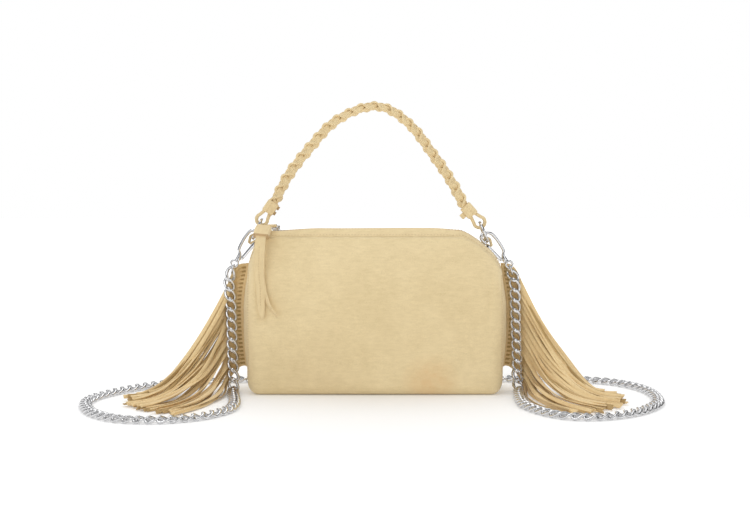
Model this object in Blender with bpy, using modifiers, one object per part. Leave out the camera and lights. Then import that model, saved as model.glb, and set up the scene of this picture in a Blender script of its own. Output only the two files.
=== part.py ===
"""Small zip-top suede handbag with side fringes, a braided top handle and a clip-on chain strap.

Metres, +Z up. The origin is the centre of the base, X runs along the bag and the front faces -Y.
"""

import math

import bmesh
import bpy
import numpy as np

MM = 0.001
UP = np.array((0.0, 0.0, 1.0))
FORWARD = np.array((0.0, -1.0, 0.0))
ALONG = np.array((1.0, 0.0, 0.0))

# Clearance between pieces that touch
GAP = 0.3 * MM

# Body
BODY_HALF_WIDTH = 126 * MM
BODY_HALF_DEPTH = 35 * MM
END_ROUND = 12 * MM
BASE_ROUND = 11 * MM
SUEDE = 1.8 * MM
SEAM_HALF_DEPTH = 20 * MM
SEAM_HEIGHT = 155 * MM
ZIP_HEIGHT = 160 * MM
TOP_SWELL = 2.6 * MM
SWELL_FADE = 45 * MM
SWELL_HALF_WIDTH = BODY_HALF_WIDTH - 71 * MM
GUSSET_BULGE = 5.5 * MM
LIP = 1.6 * MM
LEFT_SHOULDER = (BODY_HALF_WIDTH - 26 * MM, 26 * MM, 2.2)
RIGHT_SHOULDER = (BODY_HALF_WIDTH - 41 * MM, 30 * MM, 1.4)
LINING = 0.8 * MM
LINING_TOP = SEAM_HEIGHT - 6 * MM
LINING_TOP_HALF_WIDTH = BODY_HALF_WIDTH - 40 * MM
BOARD_MARGIN = 13 * MM
BOARD = (2 * (BODY_HALF_WIDTH - BOARD_MARGIN), 2 * (BODY_HALF_DEPTH - BOARD_MARGIN), 1.5 * MM)

# Sizes that the typed routes below were laid out for
LAID_HALF_WIDTH = 126 * MM
LAID_ZIP_HEIGHT = 160 * MM

# Zip
ZIP_START = -BODY_HALF_WIDTH + 24 * MM
ZIP_END = BODY_HALF_WIDTH - 42 * MM
TEETH_HALF_WIDTH = 2.4 * MM
TEETH_THICKNESS = 2.2 * MM
TAPE_HALF_WIDTH = 5.8 * MM
TAPE = 0.9 * MM
SLIDER = (8.5 * MM, 7.0 * MM, 2.4 * MM)
SLIDER_STOP = 3 * MM
PULL_RING_RADIUS = 4.2 * MM
PULL_RING_WIRE = 0.8 * MM
PULL_WIDTH = 10 * MM
PULL_SUEDE = 1.5 * MM
KEEPER_WIDTH = 15.2 * MM
KEEPER_LENGTH = 13.5 * MM
KEEPER_TOP = ZIP_HEIGHT + 4 * MM
KEEPER_HALF_DEPTH = 3.0 * MM

# End rings and their tabs
RING_RADIUS = 10.2 * MM
RING_WIRE = 1.45 * MM
TAB_WIDTH = 7 * MM
TAB_SUEDE = 1.9 * MM
TAB_EYE = 2.45 * MM
TAB_LENGTH = 8.2 * MM

# Handle
HANDLE_POINTS_MM = (
    (-99.6, 190.2),
    (-85.8, 216.0),
    (-63.9, 244.0),
    (-40.4, 268.4),
    (-11.0, 282.5),
    (13.0, 281.2),
    (36.9, 263.5),
    (57.9, 236.0),
    (75.8, 210.0),
    (88.4, 186.4),
)
BRAID_PITCH = 39 * MM
BRAID_SIDE = 4.2 * MM
BRAID_DEPTH = 3.0 * MM
STRAND_RADIUS = 1.75 * MM
SLEEVE_SEAT = 1.65 * MM
SLEEVE_WIDTH = 15 * MM
SLEEVE_LENGTH = 12.5 * MM
SLEEVE_DEPTH = 9.4 * MM
SLEEVE_SUEDE = 1.6 * MM
LOOP_WIDTH = 7.0 * MM
LOOP_SUEDE = 2.3 * MM
LOOP_EYE = 4.3 * MM
LEFT_LOOP_SLACK = 1.9 * MM
RIGHT_LOOP_SLACK = 1.3 * MM

# Clips
CLIP_PLANE = -6.0 * MM
HOOK_WIRE = 1.3 * MM
GATE_LENGTH = 20 * MM
GATE_WIDTH = 4.4 * MM
EYE_RADIUS = 3.4 * MM
EYE_WIRE = 1.1 * MM
JUMP_RADIUS = 4.4 * MM
JUMP_SIDES = 14
JUMP_WIRE = 0.9 * MM
FOOT_DEPTH = 3.6 * MM
SWIVEL_OUT = 2.4 * MM
COLLAR_RADIUS = 2.4 * MM
COLLAR_LENGTH = 1.8 * MM

# Chain strap
LINK_PITCH = 10.5 * MM
LINK_HALF_WIDTH = 5.7 * MM
LINK_NECK = 4.7 * MM
LINK_RUNG = 3.4 * MM
LINK_SLANT = 2.3 * MM
LINK_CROSSING = 2.2 * MM
LINK_RAIL = 1.4 * MM
HOLE_HALF_WIDTH = 2.9 * MM
HOLE_NECK = 2.1 * MM
CHAIN_REST = 2.4 * MM
CHAIN_FLOOR_MM = (
    (-141, -16),
    (-138, -40),
    (-133, -73),
    (-131, -100),
    (-135, -124),
    (-151, -150),
    (-174, -165),
    (-198, -169),
    (-225, -162),
    (-250, -138),
    (-266, -104),
    (-271, -75),
    (-264, -45),
    (-244, -10),
    (-217, 19),
    (-180, 37),
    (-136, 46),
    (-70, 52),
    (0, 54),
    (70, 53),
    (140, 50),
    (200, 48),
    (236, 35),
    (256, 15),
    (268, -12),
    (271, -43),
    (266, -80),
    (252, -110),
    (229, -137),
    (200, -153),
    (174, -153),
    (155, -136),
    (143, -110),
    (138, -88),
    (139, -50),
    (143, -16),
)

# Fringes
STRIP_COUNT = 26
STRIP_PITCH = 4.0 * MM
STRIP_WIDTH = 3.6 * MM
STRIP_THICKNESS = 0.7 * MM
STRIP_STATIONS = (0.0, 0.04, 0.12, 0.28, 0.48, 0.7, 0.86, 1.0)
STRIP_STRAIGHT = 9 * MM
STRIP_SPREAD = 16 * MM
STRIP_ROLL = math.radians(50)
STRIP_REST = 2.4 * MM
STRIP_STACK = 2.4 * MM
STRIP_LENGTH = 165 * MM
FRINGE_FOOT = 24 * MM
HEADER_DEPTH = 2.6 * MM
FRINGE_SET_BACK = 1.8 * MM
STRIP_TURN = 40 * MM

SAND = (0.79, 0.66, 0.42, 1.0)
DEEP_SAND = (0.72, 0.54, 0.29, 1.0)
LINING_CREAM = (0.62, 0.52, 0.38, 1.0)
BOARD_GREY = (0.35, 0.33, 0.3, 1.0)
STEEL = (0.78, 0.78, 0.8, 1.0)
TAPE_TAN = (0.66, 0.53, 0.33, 1.0)


def widened(x):
    """A laid-out place along the bag, moved with the bag's own end."""
    return x + (BODY_HALF_WIDTH - LAID_HALF_WIDTH) * float(np.clip(x / (0.8 * LAID_HALF_WIDTH), -1, 1))


def raised(z):
    """A laid-out height about the bag's top, moved with the zip."""
    return z + ZIP_HEIGHT - LAID_ZIP_HEIGHT


class Side:
    """One end of the bag: the ring there, and the clip and fringe that go with it."""

    def __init__(self, name, sign, ring, ring_lean, clip_lean, shoulder, far_turn, near_turn):
        self.name = name
        self.sign = sign
        self.ring = np.array((widened(ring[0]), 0.0, raised(ring[1])))
        lean = math.radians(ring_lean)
        self.ring_up = np.array((-sign * math.sin(lean), 0.0, math.cos(lean)))
        clip = math.radians(clip_lean)
        self.clip_up = np.array((-sign * math.sin(clip), 0.0, math.cos(clip)))
        self.clip_out = np.array((sign * math.cos(clip), 0.0, math.sin(clip)))
        self.shoulder = shoulder
        self.far_turn = far_turn
        self.near_turn = near_turn

    def clip_point(self, along, out, y=CLIP_PLANE):
        """Place of a point in the clip's own plane: along the gate from its pin, and out from it."""
        seat = self.ring - CLIP_TO_RING[0] * self.clip_up - CLIP_TO_RING[1] * self.clip_out
        point = seat + along * self.clip_up + out * self.clip_out
        return np.array((point[0], y, point[2]))


CLIP_TO_RING = (31.5 * MM, 7.0 * MM)
LEFT = Side("left", -1, (-117.3 * MM, 162.0 * MM), 25, 40, LEFT_SHOULDER, 22.0, 72.0)
RIGHT = Side("right", 1, (108.3 * MM, 159.1 * MM), 22, 44.7, RIGHT_SHOULDER, 20.0, 66.0)
SIDES = (LEFT, RIGHT)


def clear_scene():
    for item in list(bpy.data.objects):
        bpy.data.objects.remove(item, do_unlink=True)


def new_collection(name):
    collection = bpy.data.collections.new(name)
    bpy.context.scene.collection.children.link(collection)
    return collection


def material(name, colour, roughness, metallic=0.0):
    made = bpy.data.materials.get(name)
    if made is None:
        made = bpy.data.materials.new(name)
        made.use_nodes = True
        shader = made.node_tree.nodes["Principled BSDF"]
        shader.inputs["Base Color"].default_value = colour
        shader.inputs["Roughness"].default_value = roughness
        shader.inputs["Metallic"].default_value = metallic
    return made


def suede():
    return material("suede", SAND, 0.95)


def fringe_suede():
    return material("fringe_suede", DEEP_SAND, 0.95)


def steel():
    return material("polished_steel", STEEL, 0.18, 1.0)


def add_object(name, data, finish):
    made = bpy.data.objects.new(name, data)
    PARTS.objects.link(made)
    data.materials.append(finish)
    return made


def mesh_object(name, vertices, faces, finish, solid=True):
    """An object from points and faces; a solid one has its faces turned outwards."""
    mesh = bpy.data.meshes.new(name)
    mesh.from_pydata([tuple(v) for v in vertices], [], faces)
    body = bmesh.new()
    body.from_mesh(mesh)
    bmesh.ops.remove_doubles(body, verts=body.verts, dist=1e-6)
    bmesh.ops.delete(body, geom=[v for v in body.verts if not v.link_faces], context="VERTS")
    if solid:
        bmesh.ops.recalc_face_normals(body, faces=body.faces)
    body.to_mesh(mesh)
    body.free()
    mesh.shade_smooth()
    mesh.set_sharp_from_angle(angle=math.radians(40))
    return add_object(name, mesh, finish)


def move_origin(item, point):
    """Puts an object's origin on a point of its joint's axis without moving its shape."""
    offset = np.array(point)
    for vertex in item.data.vertices:
        vertex.co = np.array(vertex.co) - offset
    item.location = offset


def unit(vectors):
    return vectors / np.linalg.norm(vectors, axis=-1, keepdims=True)


def smooth_step(value):
    held = np.clip(value, 0.0, 1.0)
    return held * held * (3.0 - 2.0 * held)


def smooth_path(points, step):
    """Points every step along a Catmull-Rom curve through the given points."""
    knots = np.array(points, dtype=float)
    padded = np.vstack((2 * knots[0] - knots[1], knots, 2 * knots[-1] - knots[-2]))
    pieces = []
    share = np.linspace(0.0, 1.0, 24, endpoint=False)[:, None]
    for a, b, c, d in zip(padded, padded[1:], padded[2:], padded[3:]):
        pieces.append(
            0.5 * (2 * b + (c - a) * share + (2 * a - 5 * b + 4 * c - d) * share**2
                   + (3 * b - a - 3 * c + d) * share**3)
        )
    fine = np.vstack(pieces + [knots[-1:]])
    reach = np.concatenate(([0.0], np.cumsum(np.linalg.norm(np.diff(fine, axis=0), axis=1))))
    count = max(2, int(round(reach[-1] / step)) + 1)
    stations = np.linspace(0.0, reach[-1], count)
    return np.stack([np.interp(stations, reach, fine[:, k]) for k in range(3)], axis=1)


def tangents(path):
    return unit(np.gradient(path, axis=0))


def sweep(path, wide, section, closed=False):
    """Vertices and faces of a section carried along a path; section holds (wide, thin) pairs."""
    along = tangents(path) if not closed else unit(np.roll(path, -1, 0) - np.roll(path, 1, 0))
    flat = wide - (wide * along).sum(1, keepdims=True) * along
    flat = unit(flat)
    thin = np.cross(along, flat)
    rings = [path + a * flat + b * thin for a, b in section]
    vertices = np.stack(rings, axis=1).reshape(-1, 3)
    sides = len(section)
    count = len(path)
    faces = []
    for k in range(count if closed else count - 1):
        here = k * sides
        there = ((k + 1) % count) * sides
        for m in range(sides):
            n = (m + 1) % sides
            faces.append((here + m, here + n, there + n, there + m))
    if not closed:
        faces.append(tuple(range(sides))[::-1])
        faces.append(tuple(range((count - 1) * sides, count * sides)))
    return vertices, faces


def merged(shapes):
    """Several vertex and face lists as one."""
    vertices = []
    faces = []
    for points, polygons in shapes:
        start = sum(len(v) for v in vertices)
        vertices.append(points)
        faces.extend(tuple(start + k for k in polygon) for polygon in polygons)
    return np.vstack(vertices), faces


def oval(half_wide, half_thin, count):
    turn = np.arange(count) * 2 * math.pi / count
    return [(half_wide * math.cos(a), half_thin * math.sin(a)) for a in turn]


def rectangle(half_wide, half_thin):
    return [
        (half_wide, -half_thin),
        (half_wide, half_thin),
        (-half_wide, half_thin),
        (-half_wide, -half_thin),
    ]


def union(name, first, second, finish):
    """One closed body from two groups of overlapping solids."""
    base = mesh_object(name, *first, finish)
    other = mesh_object(name + "_join", *second, finish)
    join = base.modifiers.new("join", "BOOLEAN")
    join.operation = "UNION"
    join.object = other
    bpy.context.view_layer.update()
    evaluated = base.evaluated_get(bpy.context.evaluated_depsgraph_get())
    joined = bpy.data.meshes.new_from_object(evaluated)
    bpy.data.objects.remove(base, do_unlink=True)
    bpy.data.objects.remove(other, do_unlink=True)
    joined.materials.clear()
    return add_object(name, joined, finish)


def solidify(item, thickness):
    wall = item.modifiers.new("wall", "SOLIDIFY")
    wall.thickness = thickness
    wall.offset = -1.0
    wall.use_even_offset = True


def bevel(item, width, segments=2):
    rounded = item.modifiers.new("rounded", "BEVEL")
    rounded.width = width
    rounded.segments = segments
    rounded.limit_method = "ANGLE"
    rounded.angle_limit = math.radians(50)


# Body of the bag


def panel_half_depth(height):
    """Half the bag's depth at a height on the front or back panel, drawn in towards the zip."""
    waist = 40 * MM
    rise = np.clip((height - waist) / (SEAM_HEIGHT - waist), 0.0, 1.0)
    return BODY_HALF_DEPTH - (BODY_HALF_DEPTH - SEAM_HALF_DEPTH) * rise**4


def half_profile():
    """The middle section from the zip to the centre of the base, as (y, z), in its sewn parts."""
    zip_part = [(0.0, ZIP_HEIGHT), (TAPE_HALF_WIDTH - LIP, ZIP_HEIGHT), (TAPE_HALF_WIDTH, ZIP_HEIGHT)]
    seam = np.array((SEAM_HALF_DEPTH, SEAM_HEIGHT))
    crest = np.array((0.62 * SEAM_HALF_DEPTH, ZIP_HEIGHT))
    run = unit(seam - crest)
    band_part = [
        (TAPE_HALF_WIDTH + LIP, ZIP_HEIGHT),
        tuple(crest),
        tuple(seam - LIP * run),
        tuple(seam),
    ]
    panel_part = [tuple(seam + LIP * run)]
    top = seam[1] + LIP * run[1]
    for height in np.linspace(top - 6 * MM, BASE_ROUND, 6):
        panel_part.append((float(panel_half_depth(height)), float(height)))
    centre = BODY_HALF_DEPTH - BASE_ROUND
    for turn in np.radians((45, 90)):
        panel_part.append((centre + BASE_ROUND * math.cos(turn), BASE_ROUND * (1 - math.sin(turn))))
    panel_part += [(centre / 2, 0.0), (0.0, 0.0)]
    return zip_part, band_part, panel_part


def shoulder_drop(x, side):
    start, depth, power = side.shoulder
    reach = np.clip((np.abs(x) - start) / (BODY_HALF_WIDTH - start), 0.0, 1.0)
    return depth * reach**power


def body_stations():
    """X along the bag, and the share of the end rounding reached at each station."""
    flat = BODY_HALF_WIDTH - END_ROUND
    left_part = -flat + np.array((0, 10, 26, 59)) * MM
    right_part = flat - np.array((59, 30, 16, 0)) * MM
    middle = np.concatenate((left_part, (0.0,), right_part))
    turns = np.radians((35, 65, 90))
    right = flat + END_ROUND * np.sin(turns)
    inset = END_ROUND * (1 - np.cos(turns))
    x = np.concatenate((-right[::-1], middle, right))
    insets = np.concatenate((inset[::-1], np.zeros(len(middle)), inset))
    return x, insets


def body_points(section, x, inset):
    """Places a section's (y, z) points at x, drawn in by inset and lowered at the shoulders."""
    y, z = np.array(section).T
    centre = ZIP_HEIGHT / 2
    y = y * (1 - inset / BODY_HALF_DEPTH)
    z = centre + (z - centre) * (1 - inset / centre)
    swell_place = np.exp(-(((np.abs(y) - 0.62 * SEAM_HALF_DEPTH) / (5 * MM)) ** 2)) * (z > 0.9 * SEAM_HEIGHT)
    z = z + TOP_SWELL * swell_place * (1 - smooth_step((abs(x) - SWELL_HALF_WIDTH) / SWELL_FADE))
    side = RIGHT if x > 0 else LEFT
    lowered = smooth_step((z - 88 * MM) / (ZIP_HEIGHT - 88 * MM))
    z = z - shoulder_drop(x, side) * lowered
    return np.stack((np.full_like(y, x), y, z), axis=1)


def body_sheet(section, x_end_lip):
    """Grid of points over the bag for one run of the section, with a flat lip at both ends."""
    x, insets = body_stations()
    rows = [body_points(section, a, b) for a, b in zip(x, insets)]
    last = END_ROUND + x_end_lip
    rows.insert(0, body_points(section, -BODY_HALF_WIDTH, last))
    rows.append(body_points(section, BODY_HALF_WIDTH, last))
    return np.array(rows)


def grid_faces(rows, columns, flip=False):
    faces = []
    for r in range(rows - 1):
        for c in range(columns - 1):
            a = r * columns + c
            face = (a, a + 1, a + columns + 1, a + columns)
            faces.append(face[::-1] if flip else face)
    return faces


def trimmed(section, start, end):
    """Shortens a run of points by start and end along its first and last legs."""
    points = np.array(section, dtype=float)
    points[0] += start * unit(points[1] - points[0])
    points[-1] += end * unit(points[-2] - points[-1])
    return points


def sheet_object(name, grid, finish, thickness, flip=False):
    rows, columns = grid.shape[:2]
    item = mesh_object(name, grid.reshape(-1, 3), grid_faces(rows, columns, flip), finish, solid=False)
    solidify(item, thickness)


def mirrored(section):
    points = np.array(section)
    return points * np.array((-1.0, 1.0))


def make_body():
    zip_part, band_part, panel_part = half_profile()
    seam = band_part[-1]
    front = np.vstack((mirrored([seam] + panel_part), np.array([seam] + panel_part)[-2::-1]))
    wrap = trimmed(front, GAP / 2, GAP / 2)
    sheet_object("body_wrap", body_sheet(wrap, LIP), suede(), SUEDE)
    edge = zip_part[-1]
    band = trimmed([edge] + band_part, GAP / 2, GAP / 2)
    sheet_object("back_zip_band", body_sheet(band, LIP), suede(), SUEDE, flip=True)
    sheet_object("front_zip_band", body_sheet(mirrored(band), LIP), suede(), SUEDE)
    for side in SIDES:
        make_gusset(side, zip_part, band_part, panel_part)


def make_gusset(side, zip_part, band_part, panel_part):
    half = zip_part + band_part + panel_part
    ring = np.vstack((np.array(half), mirrored(half)[-2:0:-1]))
    x = side.sign * BODY_HALF_WIDTH
    outline = body_points(ring, x, END_ROUND + LIP + GAP)
    centre = outline.mean(axis=0)
    rows = []
    for share in (1.0, 0.93, 0.72, 0.4, 0.0):
        row = centre + (outline - centre) * share
        swell = 0.0 if share > 0.92 else GUSSET_BULGE * (1 - (share / 0.93) ** 2)
        row[:, 0] += side.sign * swell
        rows.append(np.vstack((row, row[:1])))
    grid = np.array(rows)
    name = side.name + "_gusset"
    sheet_object(name, grid, suede(), SUEDE, flip=side.sign > 0)


def make_inside():
    """Lining, an open-topped bag of its own, and the stiffening board under it."""
    floor = SUEDE + 2 * GAP + BOARD[2] + GAP
    heights = np.array((LINING_TOP, LINING_TOP - 11 * MM, LINING_TOP - 27 * MM, 60 * MM, floor + 14 * MM,
                        floor + 4 * MM, floor))
    margins = np.array((29, 16, 10, 10, 14, 22)) * MM
    half_widths = np.concatenate(((LINING_TOP_HALF_WIDTH,), BODY_HALF_WIDTH - margins))
    rows = []
    for k, (height, half_width) in enumerate(zip(heights, half_widths)):
        depth = float(panel_half_depth(height)) - SUEDE - 1.6 * MM
        if k >= len(heights) - 2:
            depth -= (2.5 * MM, 9 * MM)[k - len(heights) + 2]
        corner = 12 * MM
        row = []
        for quarter, (sx, sy) in enumerate(((1, 1), (-1, 1), (-1, -1), (1, -1))):
            for turn in np.radians((0, 45, 90)):
                angle = turn + quarter * math.pi / 2
                row.append((sx * (half_width - corner) + corner * math.cos(angle),
                            sy * (depth - corner) + corner * math.sin(angle), height))
        rows.append(row + row[:1])
    foot = np.array(rows[-1])
    foot[:, :2] = 0.0
    rows.append(foot)
    grid = np.array(rows)
    sheet_object("lining", grid, material("lining_cloth", LINING_CREAM, 0.9), LINING, flip=True)
    board = box("base_board", BOARD, (0, 0, SUEDE + GAP + BOARD[2] / 2), material("board", BOARD_GREY, 0.8))
    bevel(board, 0.4 * MM, 1)


def box(name, size, centre, finish):
    mesh = bpy.data.meshes.new(name)
    body = bmesh.new()
    bmesh.ops.create_cube(body, size=1.0)
    bmesh.ops.scale(body, vec=size, verts=body.verts)
    bmesh.ops.translate(body, vec=centre, verts=body.verts)
    body.to_mesh(mesh)
    body.free()
    return add_object(name, mesh, finish)


def torus(name, centre, normal, radius, wire, finish, around=20, section=8):
    """A ring of round wire."""
    normal = unit(np.array(normal, dtype=float))
    helper = UP if abs(normal[2]) < 0.8 else FORWARD
    first = unit(np.cross(normal, helper))
    second = np.cross(normal, first)
    turn = np.arange(around)[:, None] * 2 * math.pi / around
    path = np.array(centre) + radius * (np.cos(turn) * first + np.sin(turn) * second)
    wide = np.broadcast_to(normal, path.shape)
    return mesh_object(name, *sweep(path, wide, oval(wire, wire, section), closed=True), finish)


# Zip and its pull


def zip_strip(name, inner, outer, thickness, finish, top=ZIP_HEIGHT):
    middle = ((ZIP_START + ZIP_END) / 2, (inner + outer) / 2, top - thickness / 2)
    return box(name, (ZIP_END - ZIP_START, abs(outer - inner), thickness), middle, finish)


def make_zip():
    tape = material("zip_tape", TAPE_TAN, 0.85)
    inner = TEETH_HALF_WIDTH + GAP
    outer = TAPE_HALF_WIDTH - GAP
    zip_strip("front_zip_tape", -outer, -inner, TAPE, tape)
    zip_strip("back_zip_tape", inner, outer, TAPE, tape)
    teeth = zip_strip("zip_teeth", -TEETH_HALF_WIDTH, TEETH_HALF_WIDTH, TEETH_THICKNESS, steel(),
                      ZIP_HEIGHT + TEETH_THICKNESS / 2)
    bevel(teeth, 0.5 * MM, 1)


def make_slider():
    """Slider body with the low bridge on its back that the pull ring runs through."""
    length, width, height = SLIDER
    x = ZIP_START + SLIDER_STOP
    foot = ZIP_HEIGHT + TEETH_THICKNESS / 2 + GAP
    points = np.array((
        (x - length / 2, 0, foot),
        (x - length / 2, 0, foot + height),
        (x + length / 2, 0, foot + height),
        (x + length / 2, 0, foot),
    ))
    plate = outline_prism(points, width)
    arch_foot = foot + height - 0.5 * MM
    turn = np.radians(np.linspace(0, 180, 7))
    path = np.stack((np.full(7, x), 2.6 * MM * np.cos(turn), arch_foot + 3.4 * MM * np.sin(turn)), axis=1)
    wide = np.broadcast_to(ALONG, path.shape)
    arch = sweep(path, wide, rectangle(1.3 * MM, 0.5 * MM))
    item = union("zip_slider", plate, arch, steel())
    move_origin(item, (x, 0, foot))


def outline_prism(outline, width):
    """A flat outline in a plane across Y, as thick as width along Y."""
    count = len(outline)
    offset = np.array((0, width / 2, 0))
    vertices = np.vstack((outline - offset, outline + offset))
    faces = [tuple(range(count)), tuple(range(count, 2 * count))[::-1]]
    for k in range(count):
        n = (k + 1) % count
        faces.append((k, k + count, n + count, n))
    return vertices, faces


def pull_axis():
    """Side of the pull ring held under the slider's bridge, about which the whole pull swings."""
    top = ZIP_HEIGHT + TEETH_THICKNESS / 2 + GAP + SLIDER[2]
    return np.array((ZIP_START + SLIDER_STOP, 0.0, top + GAP + PULL_RING_WIRE))


def pull_route():
    """Way of the pull's suede: from its ring, over the front band and down the front panel."""
    x, y, z = pull_axis()
    face = -BODY_HALF_DEPTH - 3.2 * MM
    return (
        (x - 0.4 * MM, y - 2 * PULL_RING_RADIUS - PULL_RING_WIRE - 3 * GAP, z),
        (x - 2.6 * MM, -BODY_HALF_DEPTH + 21 * MM, ZIP_HEIGHT + 6.4 * MM),
        (x - 9.2 * MM, -BODY_HALF_DEPTH + 13 * MM, ZIP_HEIGHT + 4.2 * MM),
        (x - 11.4 * MM, -BODY_HALF_DEPTH + 3.5 * MM, ZIP_HEIGHT - 2 * MM),
        (x - 12.4 * MM, face + 1.2 * MM, ZIP_HEIGHT - 12 * MM),
        (x - 13.2 * MM, face, ZIP_HEIGHT - 36 * MM),
        (x - 11.8 * MM, face, ZIP_HEIGHT - 55 * MM),
        (x - 11.5 * MM, face, ZIP_HEIGHT - 72 * MM),
        (x - 10.2 * MM, face, ZIP_HEIGHT - 83.5 * MM),
    )


def tail_route():
    """The upper layer of the pull below its sleeve, which curls off to the side."""
    x = pull_axis()[0]
    face = -BODY_HALF_DEPTH - 3.2 * MM
    return (
        (x - 9.5 * MM, face - 0.6 * MM, ZIP_HEIGHT - 48 * MM),
        (x - 9.0 * MM, face - 2.0 * MM, ZIP_HEIGHT - 59 * MM),
        (x - 5.3 * MM, face - 3.0 * MM, ZIP_HEIGHT - 70 * MM),
        (x + 4.5 * MM, face - 3.6 * MM, ZIP_HEIGHT - 81.5 * MM),
    )


def make_pull():
    centre = pull_axis() + PULL_RING_RADIUS * FORWARD
    ring = torus("zip_pull_ring", centre, UP, PULL_RING_RADIUS, PULL_RING_WIRE, steel(), 14, 6)
    move_origin(ring, pull_axis())
    route = smooth_path(pull_route(), 8 * MM)
    wide = np.broadcast_to(np.array((1.0, 0.0, 0.0)), route.shape)
    main = sweep(route, wide, rectangle(PULL_WIDTH / 2, PULL_SUEDE / 2))
    curl = smooth_path(tail_route(), 7 * MM)
    edge = np.broadcast_to(np.array((0.6, -0.8, 0.0)), curl.shape)
    tail = sweep(curl, edge, rectangle(PULL_WIDTH * 0.4, PULL_SUEDE / 2))
    strap = union("pull_strap", main, tail, suede())
    move_origin(strap, pull_axis())
    make_pull_keeper()


def make_pull_keeper():
    """Sleeve round both layers of the pull, just under its fold."""
    fine = smooth_path(pull_route(), 1 * MM)
    start = int(np.argmin(np.abs(fine[:, 2] - KEEPER_TOP) + 10 * (fine[:, 1] > -20 * MM)))
    path = fine[start:start + int(KEEPER_LENGTH / MM) + 1:4]
    wide = np.broadcast_to(np.array((1.0, 0.0, 0.0)), path.shape)
    shape = tube(path, wide, KEEPER_WIDTH / 2, KEEPER_HALF_DEPTH, PULL_SUEDE)
    item = mesh_object("pull_keeper", *shape, suede())
    move_origin(item, pull_axis())


def tube(path, wide, half_wide, half_thin, wall):
    """A rectangular sleeve, open at both ends."""
    outer, _ = sweep(path, wide, rectangle(half_wide, half_thin))
    inner, _ = sweep(path, wide, rectangle(half_wide - wall, half_thin - wall))
    count = len(path)
    vertices = np.vstack((outer, inner))
    shift = len(outer)
    faces = []
    for k in range(count - 1):
        for m in range(4):
            n = (m + 1) % 4
            a, b, c, d = 4 * k + m, 4 * k + n, 4 * k + 4 + n, 4 * k + 4 + m
            faces.append((a, b, c, d))
            faces.append((shift + d, shift + c, shift + b, shift + a))
    last = 4 * (count - 1)
    for m in range(4):
        n = (m + 1) % 4
        faces.append((shift + m, shift + n, n, m))
        faces.append((last + m, last + n, shift + last + n, shift + last + m))
    return vertices, faces


# Rings, tabs and handle


def make_ring(side):
    normal = np.cross(side.ring_up, FORWARD)
    torus(side.name + "_ring", side.ring, normal, RING_RADIUS, RING_WIRE, steel(), 24, 6)


def teardrop(tip, centre, radius, half_neck, points=10):
    """Outline round a centre that runs out to a neck at the tip, in the plane across Y."""
    axis = unit(tip - centre)
    across = np.cross(axis, FORWARD)
    span = np.linalg.norm(tip - centre)
    lean = math.acos(min(1.0, (radius - half_neck) / span))
    turns = np.linspace(lean, 2 * math.pi - lean, points)
    curve = [centre + radius * (math.cos(t) * axis + math.sin(t) * across) for t in turns]
    return np.array([tip + half_neck * across] + curve + [tip - half_neck * across])


def looped_strap(name, tip, centre, eye, wall, width, neck, finish):
    """A strap folded round a ring's wire, seen from its edge, with the eye left open."""
    outer = teardrop(tip, centre, eye + wall, neck)
    inner_tip = tip + (centre - tip) * 0.42
    inner = teardrop(inner_tip, centre, eye, 0.35 * MM)
    count = len(outer)
    half = np.array((0, width / 2, 0))
    vertices = np.vstack((outer - half, inner - half, outer + half, inner + half))
    faces = []
    for k in range(count):
        n = (k + 1) % count
        faces.append((k, n, count + n, count + k))
        faces.append((2 * count + n, 2 * count + k, 3 * count + k, 3 * count + n))
        faces.append((n, k, 2 * count + k, 2 * count + n))
        faces.append((count + k, count + n, 3 * count + n, 3 * count + k))
    return mesh_object(name, vertices, faces, finish)


def make_tab(side):
    bow = RING_RADIUS - math.sqrt(RING_RADIUS**2 - (TAB_WIDTH / 2) ** 2)
    centre = side.ring - (RING_RADIUS - bow / 2) * side.ring_up
    out = unit(np.array((side.sign * 0.62, 0.0, -0.78)))
    tip = centre + TAB_LENGTH * out
    looped_strap(side.name + "_tab", tip, centre, TAB_EYE, TAB_SUEDE, TAB_WIDTH, TAB_SUEDE, suede())


def handle_point(x, z):
    """A typed point of the handle's arch, moved with the bag's ends and top."""
    return np.array((widened(x * MM), 0.0, raised(z * MM)))


def handle_end(side):
    """The end of the braid on this side, and the way on from it to the ring."""
    points = HANDLE_POINTS_MM if side.sign < 0 else HANDLE_POINTS_MM[::-1]
    last = handle_point(*points[0])
    wire = side.ring + RING_RADIUS * side.ring_up
    return last, unit(wire - last), wire


def make_handle():
    points = [handle_point(x, z) for x, z in HANDLE_POINTS_MM]
    route = smooth_path(points, BRAID_PITCH / 12)
    reach = np.concatenate(([0.0], np.cumsum(np.linalg.norm(np.diff(route, axis=0), axis=1))))
    side_way = np.cross(tangents(route), FORWARD)
    phase = 2 * math.pi * reach / BRAID_PITCH
    for k in range(3):
        turn = phase + k * 2 * math.pi / 3
        path = route + (BRAID_SIDE * np.sin(turn))[:, None] * side_way
        path[:, 1] += BRAID_DEPTH * np.sin(2 * turn)
        wide = np.broadcast_to(FORWARD, path.shape)
        shape = sweep(path, wide, oval(STRAND_RADIUS, STRAND_RADIUS, 4))
        strand = mesh_object(f"braid_strand_{k + 1}", *shape, suede())
        move_origin(strand, handle_axis())
    for side in SIDES:
        make_handle_end(side)


def handle_axis():
    return (0.0, 0.0, (LEFT.ring[2] + RIGHT.ring[2]) / 2)


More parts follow.
